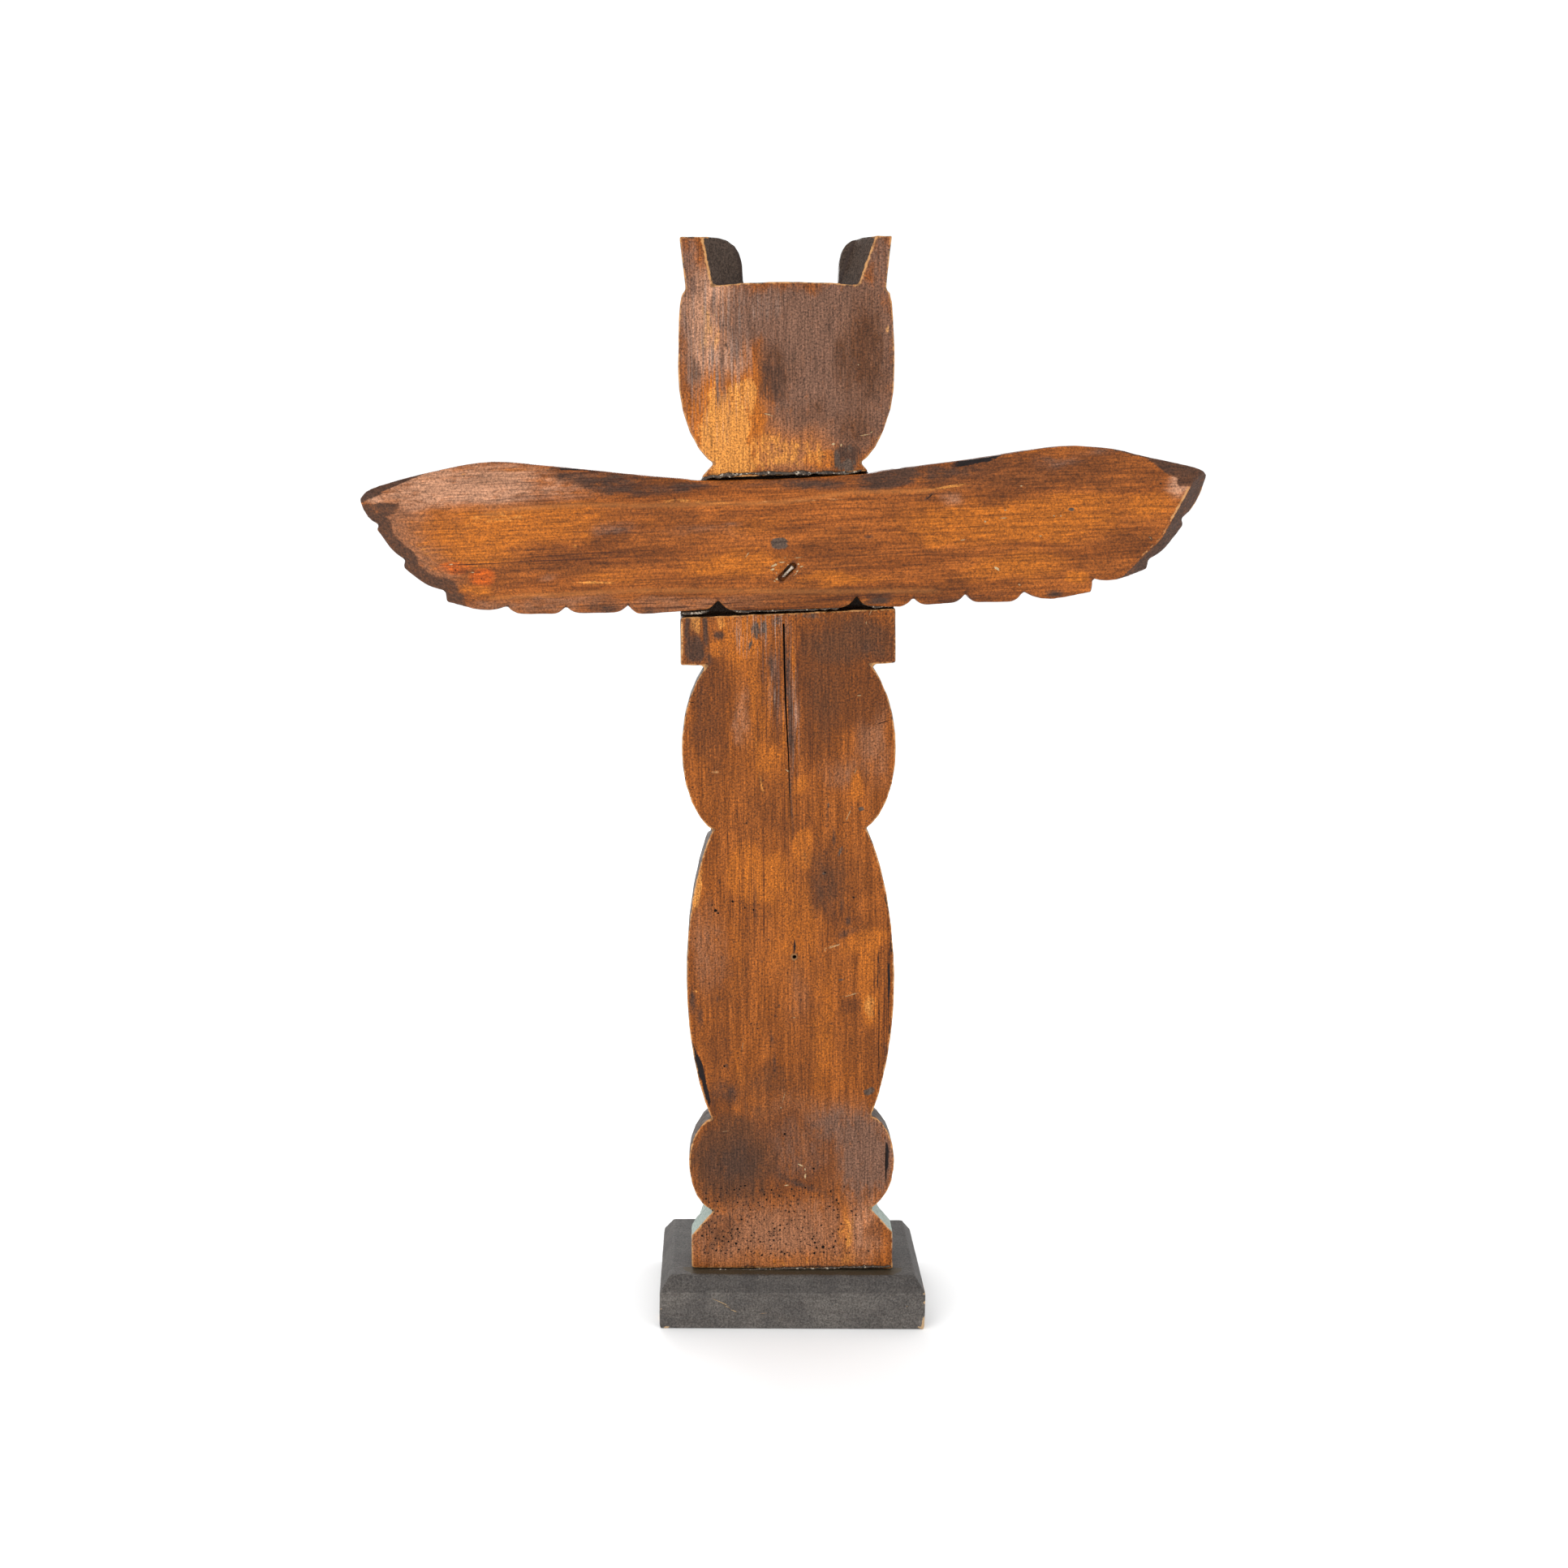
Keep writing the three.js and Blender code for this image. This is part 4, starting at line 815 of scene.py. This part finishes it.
scratches = [
    (-11, 519, 2.6, 0.45, -12), (-8.6, 518.2, 0.8, 0.3, -20), (45, 507, 4.2, 0.35, 8),
    (48.6, 508.6, 1, 0.35, 30), (41, 546.5, 0.5, 0.5, 0), (33, 568, 0.35, 0.35, 0),
    (-40.5, 574.5, 0.4, 0.8, 0), (26.5, 502, 1.1, 0.8, 10), (31, 501.4, 0.7, 1.1, 0),
    (41.5, 356.3, 1.5, 0.4, 4), (-1, 312, 1.8, 0.4, -35), (48, 405, 0.3, 3, -22), (45.5, 399, 0.35, 1, -10),
    (35, 285, 0.35, 5, -25), (-6.4, 104.5, 0.45, 0.6, 0), (-4.6, 111, 0.22, 5, -14),
    (5.4, 67.4, 2.3, 0.7, -28), (8.1, 64.6, 0.6, 1.2, 10), (8.2, 60.4, 0.8, 2.1, -8),
    (-3.2, 54.6, 1.9, 0.45, 10), (12, 26.4, 0.5, 0.4, 0), (-61, 17.6, 0.5, 0.4, 0),
    (-29.4, 143.5, 0.22, 3.4, -10), (2, 161, 0.9, 0.4, 0), (-40, 90, 3.2, 0.2, 8), (39, 311, 0.25, 3, -20),
    (27, 205.4, 4.5, 0.3, 16), (36, 174.4, 5, 0.25, 18),
]
cut_marks(pole, "bare_cuts", POLE_FRAME, 0, scratches, 0.45, 0.7, bare_wood)

# The drawn pits and holes: across, up, radius
pits = [
    (-33.6, 27, 1.15), (-34.6, 17.6, 1.05), (-33, 13.6, 0.85), (-33, 22.6, 0.65), (13.4, 65, 0.9),
    (18, 66, 0.6), (27.4, 44.6, 0.85), (28, 38.4, 0.7), (28.2, 35.2, 0.65), (30.2, 29, 0.7),
    (28.4, 25.6, 0.75), (25, 22.8, 0.7), (26.6, 18, 0.8), (25.6, 14, 0.95), (14, 17.2, 1.0),
    (15, 13.8, 0.85), (19, 14.2, 1.3), (13.6, 10.4, 1.0), (-4.2, 87.6, 0.95), (0.2, 85, 0.5), (47, 11, 0.75),
    (50, 14, 0.55), (-44.6, 228, 1.3), (-46.6, 231.4, 0.6), (-43, 226.4, 0.7), (-34.4, 233.4, 0.9),
    (-27, 229.4, 0.7), (-22, 228, 0.7), (-40.6, 131.2, 0.9), (38, 235, 0.7), (-57, 211, 0.5),
    (21, 250.4, 0.8), (-25.6, 281, 0.6), (12, 196, 0.5), (-24, 157.6, 0.5), (-34, 112, 0.6),
]
FOOT_PITS, ALL_PITS = 270, 320
PIT_GAP = 0.35
taken = list(pits)


def is_clear(u, v, radius):
    return all(math.hypot(u - a, v - b) > radius + c + PIT_GAP for a, b, c in taken)


while len(taken) < FOOT_PITS:
    u = random.uniform(-56, 40)
    v = 9 + 46 * random.random() ** 1.2
    radius = 0.42 + 0.45 * random.random() ** 2
    if u > 8 and random.random() < 0.6:
        continue
    if is_clear(u, v, radius):
        taken.append((u, v, radius))
while len(taken) < ALL_PITS:
    u, v = random.uniform(-58, 40), random.uniform(60, 270)
    radius = 0.25 + 0.25 * random.random()
    if abs(u - CRACK[-1][0]) < 4 or math.hypot(u - 2.4, v - 199) < 4:
        continue
    if is_clear(u, v, radius):
        taken.append((u, v, radius))
cut(pole, cutter_of("pits", [
    prism(POLE_FRAME, ragged_oval(u, v, radius, radius, 0, 8, 0.2), 0, 0.5 + 0.6 * radius, 0.5)
    for u, v, radius in taken
], shaded_cut_floor))

# What each spot of the pole's skin has seen
places = own_places(pole.data, POLE_FRAME)
normals = own_normals(pole.data, POLE_FRAME)
outline, ridge, corner = edge_distances(pole.data, "pole", 18, 24)
carved = smooth_step(-2, -6, places[:, 1])
keep_numbers(pole.data, edge=outline + 0.9 * carved, ridge=ridge + 3 * carved, corner=corner)
wander = [clouds(places, size, seed, 3) * 9.0 for size, seed in (((10, 10, 24), 41), ((14, 14, 30), 51))]
found = masks(places, POLE_MARKS, wander)
behind = smooth_step(-2.0, -0.6, places[:, 1]) * smooth_step(0.35, 0.75, normals[:, 1])
found = {kind: cover * behind for kind, cover in found.items()}
pit_tree = tree_of([(u, v, 0) for u, v, radius in taken])
u, v = -places[:, 0], places[:, 2]
near = np.array([pit_tree.find((a, b, 0))[2] for a, b in zip(u, v)])
found["dark"] = np.maximum(found["dark"], 0.5 * behind * smooth_step(1.6, 0.7, near))
keep_masks(pole.data, found)
# Paint: the feet teal, the bear and the ears' insides dark, the eyes cream round a dark pupil, the beak
# ochre; inside the wing slot the dark paint is painted shade
BIRD_EYE = (28.4, 552.4)
BEAR_EYE = (29, 335.5)
EYE_RADIUS, PUPIL_RADIUS, EYE_SQUASH, EYE_DEPTH = 10.5, 4.6, 1.32, 30
FEET_TOP = 44
SLOT_LOW, SLOT_HIGH, SLOT_DEEP = 404, 487, 14
EARS_LOW, EARS_ACROSS = 589.5, 60
BEAK_LOW, BEAK_HALF, BEAK_FROM = 500, 19, 58
PAINT_FROM = 0.8
FAR = 99.0
depth = -places[:, 1]
eye = np.full(len(places), FAR)
for across, up in (BIRD_EYE, BEAR_EYE):
    away = np.hypot(np.abs(u) - across, (v - up) * EYE_SQUASH)
    eye = np.minimum(eye, away + FAR * (depth < EYE_DEPTH))
ear_inside = (v > EARS_LOW) & (depth > PAINT_FROM / 2) & (np.abs(u) < EARS_ACROSS)
bear_side = (v > FEET_TOP) & (v < SLOT_LOW + 1) & (depth > PAINT_FROM) & (eye > EYE_RADIUS)
# Inside the wing slot, seen through the gaps under the wing board: dark paint as painted shade
slot_shade = (v > SLOT_LOW) & (v < SLOT_HIGH) & (depth > PAINT_FROM) & (depth < SLOT_DEEP)
beak = (depth > BEAK_FROM) & (np.abs(u) < BEAK_HALF) & (v > BEAK_LOW)
# The teal is worn off below, higher up on the sides than at the toes
worn_to = np.where(depth > 20, 5, 15)
feet = smooth_step(0.2, PAINT_FROM, depth) * smooth_step(worn_to, worn_to + 8, v)
keep_numbers(
    pole.data,
    teal_paint=feet * smooth_step(FEET_TOP + 2, FEET_TOP - 1, v),
    dark_paint=ear_inside | bear_side | slot_shade | (eye < PUPIL_RADIUS),
    cream_paint=(eye < EYE_RADIUS) & (eye > PUPIL_RADIUS),
    ochre_paint=beak,
)
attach(pole, "root")
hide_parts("pole")

# The wing board
WING_GRID = 1.07
wings = refined("wing_board", "carved_wings", WING_GRID)
places = own_places(wings.data, WING_FRAME)
tool_marks = np.abs(clouds(places, (16, 7, 7), 61)) * 0.5
uneven = np.abs(clouds(places, (60, 26, 22), 71)) * 0.4
grain_ridges = np.abs(clouds(places, (40, 2.2, 2.2), 81, 1)) * 0.16
pushed_in(wings, WING_FRAME, tool_marks + uneven + grain_ridges)
painted_with(wings, wing_wood)

NAIL_HEAD = Vector((-2.3, 4.9, -12.7))
NAIL_TOWARDS = Vector((0.69, -0.3, -0.66)).normalized()
gouge_turn = -math.degrees(math.atan2(NAIL_TOWARDS.x, -NAIL_TOWARDS.z))
gouge = ragged_oval(-NAIL_HEAD.x - 3.3, NAIL_HEAD.z - 1.6, 1.6, 4.7, gouge_turn, 16, 0.1)
cut(wings, cutter_of("gouge", [prism(WING_FRAME, gouge, WING_PROUD, 2.9, 0.8)], shaded_cut_floor))
wing_scratches = [
    (-8.4, -11.4, 2.6, 0.9, 22), (-9.6, -13.8, 1.7, 0.7, 8), (-4.2, -9.9, 2.6, 0.45, 2),
    (-2.2, -7.4, 0.5, 0.4, 0), (-6.4, -19.4, 2.2, 0.8, 10), (5.4, -11.2, 0.9, 0.6, 0),
    (4.8, -15.4, 0.5, 1.5, -40), (5.6, -7.6, 3.4, 0.3, 2), (7.2, -12.9, 1.5, 0.5, 18),
    (-0.4, -11.8, 0.8, 0.7, 0), (-8.6, -20.6, 0.8, 0.5, 0), (-4.3, -20.8, 1.0, 0.4, 0),
    (-7.4, -15.8, 0.3, 0.9, 40), (3.6, -17, 0.3, 2.2, -48), (-129.6, -29.4, 1.8, 1.2, 30),
    (-121, -28.4, 1, 1, 0), (-119, -25.6, 0.8, 1.1, -30), (-194, -3.2, 2, 0.35, 6),
    (-182, -8.2, 1.6, 0.3, -8), (120, -18.6, 2.6, 0.9, -35), (133.2, -28.6, 1, 0.5, -30),
    (101, -1.4, 2, 0.35, 10), (114, 8.6, 0.7, 0.8, 0), (126, 14.6, 0.9, 0.5, 0), (124.6, 10.2, 2.8, 0.35, 0),
    (135.4, 28, 1, 0.4, 0), (154, 10.2, 0.7, 0.5, 0), (158, 10, 0.5, 0.5, 0), (146, -1, 0.8, 0.5, 0),
    (210, -5, 1.6, 0.25, -50), (71, 38, 0.8, 0.2, 30), (-24, -5, 0.3, 3, -40),
]
cut_marks(wings, "wing_bare_cuts", WING_FRAME, WING_PROUD, wing_scratches, 0.55, 0.7, bare_wood)
cut_marks(wings, "wing_dark_cuts", WING_FRAME, WING_PROUD, [
    (-177, -12.2, 0.6, 0.6), (-191.4, -6.4, 0.4, 0.4), (216, 26, 0.7, 0.5), (-67, 34.6, 0.35, 1.8, -30),
    (82.4, 24, 3.2, 0.35, 38),
], 0.8, 0.6, shaded_cut_floor)

places = own_places(wings.data, WING_FRAME)
normals = own_normals(wings.data, WING_FRAME)
u, v = -places[:, 0], places[:, 2]
outline, ridge, corner = edge_distances(wings.data, "wing_board", 14, 50)
# Only the right tip's ridge is rubbed bare, and the polish with its painted highlight leaves out both tips
worn_tip = smooth_step(192, 204, u)
tip_line = ridge + 5 * (1 - worn_tip) + 0.6 * smooth_step(8, 0, v) + 5 * smooth_step(23, 28, v)
worn_edge = np.minimum(tip_line, outline + 1.0 + 2 * (v < 4))
near_tip = np.maximum(smooth_step(80, 120, u), smooth_step(-172, -180, u))
keep_numbers(wings.data, edge=worn_edge, ridge=ridge + 9 * near_tip, corner=corner)
wander = [clouds(places, size, seed, 3) * 7.0 for size, seed in (((26, 10, 10), 91), ((24, 9, 9), 101))]
found = masks(places, WING_MARKS, wander)
behind = smooth_step(-8.0, -6.0, places[:, 1]) * smooth_step(0.1, 0.5, normals[:, 1])
found = {kind: cover * behind for kind, cover in found.items()}
# The tips' bevels are stained dark and carry painted shade: a wedge along the top of each and a band along
# the ends
left_width = 4.4 * smooth_step(-198, -236, u)
left_wedge = smooth_step(0, 2, v - 34 - 0.35 * (u + 240)) * (u < -199)
left_wedge *= smooth_step(0.3, -0.3, outline - left_width)
left_band = smooth_step(-186, -190, u) * (v < 33)
left_band *= smooth_step(1.5, -1.5, outline + wander[0] * 0.3 - 9)
right_width = 9 * smooth_step(204, 224, u) * (1 - 0.6 * smooth_step(225, 238, u))
right_wedge = smooth_step(22, 26, v) * (u > 204)
right_wedge *= smooth_step(0.5, -0.5, outline + wander[1] * 0.15 - right_width)
# Faces at the tips that turn far from the back: painted shade
steep_shade = smooth_step(0.86, 0.8, normals[:, 1]) * smooth_step(186, 192, u)
for kind, cover in (
    ("bruise_and_shade", left_band * 0.9), ("bruise_and_shade", right_wedge), ("bruise_and_shade", steep_shade), ("dark", left_wedge),
    ("dark", left_band * 0.5), ("dark", steep_shade * 0.75), ("dark", right_wedge * 0.6),
):
    found[kind] = np.maximum(found[kind], behind * cover)
# Faces turned away from the back are browned: painted shade
found["brown"] = np.maximum(found["brown"], 0.8 * (1 - smooth_step(0.35, 0.6, normals[:, 1])))
keep_masks(wings.data, found)
keep_numbers(wings.data, **{kind: np.zeros(len(places)) for kind, *_ in PAINTS})
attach(wings, "root")
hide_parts("wing_board")

# The plinth
PLINTH_GRID = 1.3
plinth = refined("plinth", "painted_plinth", PLINTH_GRID)
places = own_places(plinth.data, PLINTH_FRAME)
worn = np.abs(clouds(places, (9, 9, 9), 111)) * 0.35 + np.abs(clouds(places, (40, 40, 40), 121)) * 0.3
worn *= smooth_step(0.0, 3.0, places[:, 2])
pushed_in(plinth, PLINTH_FRAME, worn)
painted_with(plinth, paint)
cut_marks(plinth, "plinth_scratches", Matrix.Translation((0, PLINTH_DEPTH / 2, 0)), 0, [
    (-44, 17, 9, 0.3, -25), (-36, 11.5, 3, 0.35, -20), (-40, 14, 4, 0.25, -24), (-18, 10, 3, 0.2, 5),
    (70, 15, 0.5, 0.4, 0), (-30, 24, 1.5, 0.4, 10),
], 0.45, 0.6, bare_wood)
places = own_places(plinth.data, PLINTH_FRAME)
outline = edge_distances(plinth.data, "plinth", 20, 24)[0]
u, v = -places[:, 0], places[:, 2]
# Corners chipped to bare wood: across, up and how far the chip reaches
corners = [(-81, 2, 5), (-77, 1, 4), (81, 4, 7), (81, 20, 6), (78, 0, 5), (-81, 13, 3)]
bare = np.zeros(len(places))
for across, up, reach in corners:
    chip = smooth_step(reach, reach * 0.2, np.hypot(u - across, v - up))
    bare = np.maximum(bare, chip * (places[:, 1] > 30))
bare *= smooth_step(3.2, 0.8, outline)
bare *= smooth_step(-0.3, 0.1, clouds(places, (5, 5, 5), 181))
# The chamfer band, which the paint darkens as painted shade
upper = smooth_step(CHAMFER_LOW - 0.6, CHAMFER_LOW + 0.6, v)
smear = smooth_step(8, 4, np.maximum(np.abs(u) - 62, 0) + np.maximum(places[:, 1] - POLE_BACK, 0) * 0.8)
smear = smear * (places[:, 1] > POLE_BACK - 4) * (v > PLINTH_TOP - 2)
keep_numbers(plinth.data, edge=outline, bare=bare, upper=upper, smear=smear)
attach(plinth, "root")
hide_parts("plinth")


# The nail: a thin shank with a small domed head, lying in its gouge
def tube_faces(rings, steps):
    faces = [(ring * steps + i, ring * steps + (i + 1) % steps,
              (ring + 1) * steps + (i + 1) % steps, (ring + 1) * steps + i)
             for ring in range(rings - 1) for i in range(steps)]
    return faces + [tuple(reversed(range(steps))), tuple(range((rings - 1) * steps, rings * steps))]


def lathe(name, profile, steps, matrix, finish):
    turns = [2 * math.pi * i / steps for i in range(steps)]
    vertices = [matrix @ Vector((radius * math.cos(turn), radius * math.sin(turn), height)) * MM
                for radius, height in profile for turn in turns]
    mesh = mesh_of(name, vertices, tube_faces(len(profile), steps), finish)
    mesh.shade_smooth()
    return object_of(name, mesh)


nail_turn = NAIL_TOWARDS.to_track_quat("Z", "Y").to_matrix().to_4x4()
nail_matrix = WING_FRAME @ Matrix.Translation(NAIL_HEAD) @ nail_turn
nail = lathe("slanted_nail", [
    (0.5, 0), (0.95, 0.15), (1.1, 0.5), (1.1, 1.2), (0.95, 1.6), (0.95, 20), (0.3, 22),
], 16, nail_matrix, steel)
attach(nail, "root")
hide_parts("wing_nail")


# Dried glue: a lumpy bead along a line of points, in the pole's own frame as seen from behind
def glue_bead(name, path, radius, seed):
    line = []
    for (u0, v0, y0), (u1, v1, y1) in zip(path, path[1:]):
        count = max(2, int(math.hypot(u1 - u0, v1 - v0) / 0.8))
        line += [(u0 + (u1 - u0) * i / count, v0 + (v1 - v0) * i / count, y0 + (y1 - y0) * i / count)
                 for i in range(count)]
    line.append(path[-1])
    steps = 8
    vertices = []
    points = np.array([(-u, y, v) for u, v, y in line])
    sizes = radius * (1 + 1.2 * clouds(points, (3, 3, 3), seed))
    lifts = clouds(points, (4, 4, 4), seed + 5) * radius * 0.9
    for i, point in enumerate(points):
        ahead = points[min(i + 1, len(points) - 1)] - points[max(i - 1, 0)]
        along = Vector(ahead).normalized()
        out = Vector((0, 1, 0))
        across = along.cross(out).normalized()
        end = min(i, len(points) - 1 - i, 3) / 3
        size = max(sizes[i] * (0.25 + 0.75 * end), 0.2)
        for j in range(steps):
            angle = 2 * math.pi * j / steps
            at = Vector(point) + across * (math.cos(angle) * size + lifts[i]) + out * math.sin(angle) * size
            vertices.append(POLE_FRAME @ at * MM)
    mesh = mesh_of(name, vertices, tube_faces(len(points), steps), glue_black)
    mesh.shade_smooth()
    bead = object_of(name, mesh)
    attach(bead, "root")


glue_bead("glue_over_wings", [
    (-50, 481.5, 0.3), (-44, 484, 0.3), (-30, 485.4, 0.4), (0, 485.6, 0.4), (25, 485.8, 0.4), (34, 485, 0.3),
    (43, 487, 0.2),
], 1.0, 131)
glue_bead("glue_under_wings_left", [(-63, 405.6, 0.2), (-52, 405.8, 0.3), (-46, 407, 0.4)], 0.8, 141)
glue_bead("glue_under_wings_middle", [
    (-36, 408, 0.4), (-28, 406.4, 0.4), (0, 407, 0.4), (28, 408, 0.4), (35, 410.5, 0.4),
], 0.9, 151)
glue_bead("glue_under_wings_right", [(43, 410.5, 0.4), (50, 408.6, 0.4), (61, 409.2, 0.3)], 0.9, 161)
glue_bead("glue_round_foot", [(-58, 0.8, 0.3), (-20, 0.7, 0.4), (20, 0.7, 0.4), (61, 0.8, 0.3)], 0.7, 171)

# The floor, light and camera
FLOOR_REACH, FLOOR_HEIGHT = 4.0, -0.0002
floor_paint = shaded(new_material("pale_floor"), {
    "Base Color": (0.94, 0.94, 0.94, 1), "Roughness": 0.9, "Specular IOR Level": 0.1,
})
floor = object_of("floor", mesh_of("floor", [
    (across * FLOOR_REACH, along * FLOOR_REACH, FLOOR_HEIGHT)
    for across, along in ((-1, -1), (1, -1), (1, 1), (-1, 1))
], [(0, 1, 2, 3)], floor_paint))

world = bpy.data.worlds.new("studio")
world.use_nodes = True
scene.world = world
sky = world.node_tree
sky.nodes.clear()
background = node(sky, "ShaderNodeBackground", {"Color": (1, 1, 1, 1), "Strength": 1.1})
sky_output = node(sky, "ShaderNodeOutputWorld")
sky.links.new(background.outputs[0], sky_output.inputs["Surface"])


SOFTBOX_SIZE = 1.2
AIMED_AT = Vector((0, 0, 0.3))


def softbox(name, place, power):
    light = bpy.data.lights.new(name, "AREA")
    light.shape = "RECTANGLE"
    light.size = light.size_y = SOFTBOX_SIZE
    light.energy = power
    lamp = object_of(name, light)
    lamp.location = place
    lamp.rotation_mode = "QUATERNION"
    lamp.rotation_quaternion = (AIMED_AT - Vector(place)).to_track_quat("-Z", "Y")


softbox("left_softbox", (1.4, 1.7, 0.9), 16)
softbox("right_softbox", (-1.7, 1.4, 0.8), 7)
softbox("far_softbox", (0.5, -1.9, 1.1), 14)

# The camera stands where the photo's did, as fitted to the plinth's corners and the pole's back
CAMERA_PLACE = (0.0510, 1.1706, 0.5291)
FOCAL_LENGTH = 44.72
yaw, pitch, roll = math.radians(2.013), math.radians(9.653), math.radians(1.123)
camera = object_of("camera", bpy.data.cameras.new("camera"))
ahead = Vector((-math.sin(yaw) * math.cos(pitch), -math.cos(yaw) * math.cos(pitch), -math.sin(pitch)))
level = Vector((-math.cos(yaw), math.sin(yaw), 0))
above = level.cross(ahead)
right = level * math.cos(roll) + above * math.sin(roll)
up = -level * math.sin(roll) + above * math.cos(roll)
camera.matrix_world = Matrix((
    *((right[axis], up[axis], -ahead[axis], CAMERA_PLACE[axis]) for axis in range(3)),
    (0, 0, 0, 1),
))
camera.data.sensor_width = 36
camera.data.lens = FOCAL_LENGTH
camera.data.clip_start = 0.01
scene.camera = camera
scene.view_settings.view_transform = "Standard"
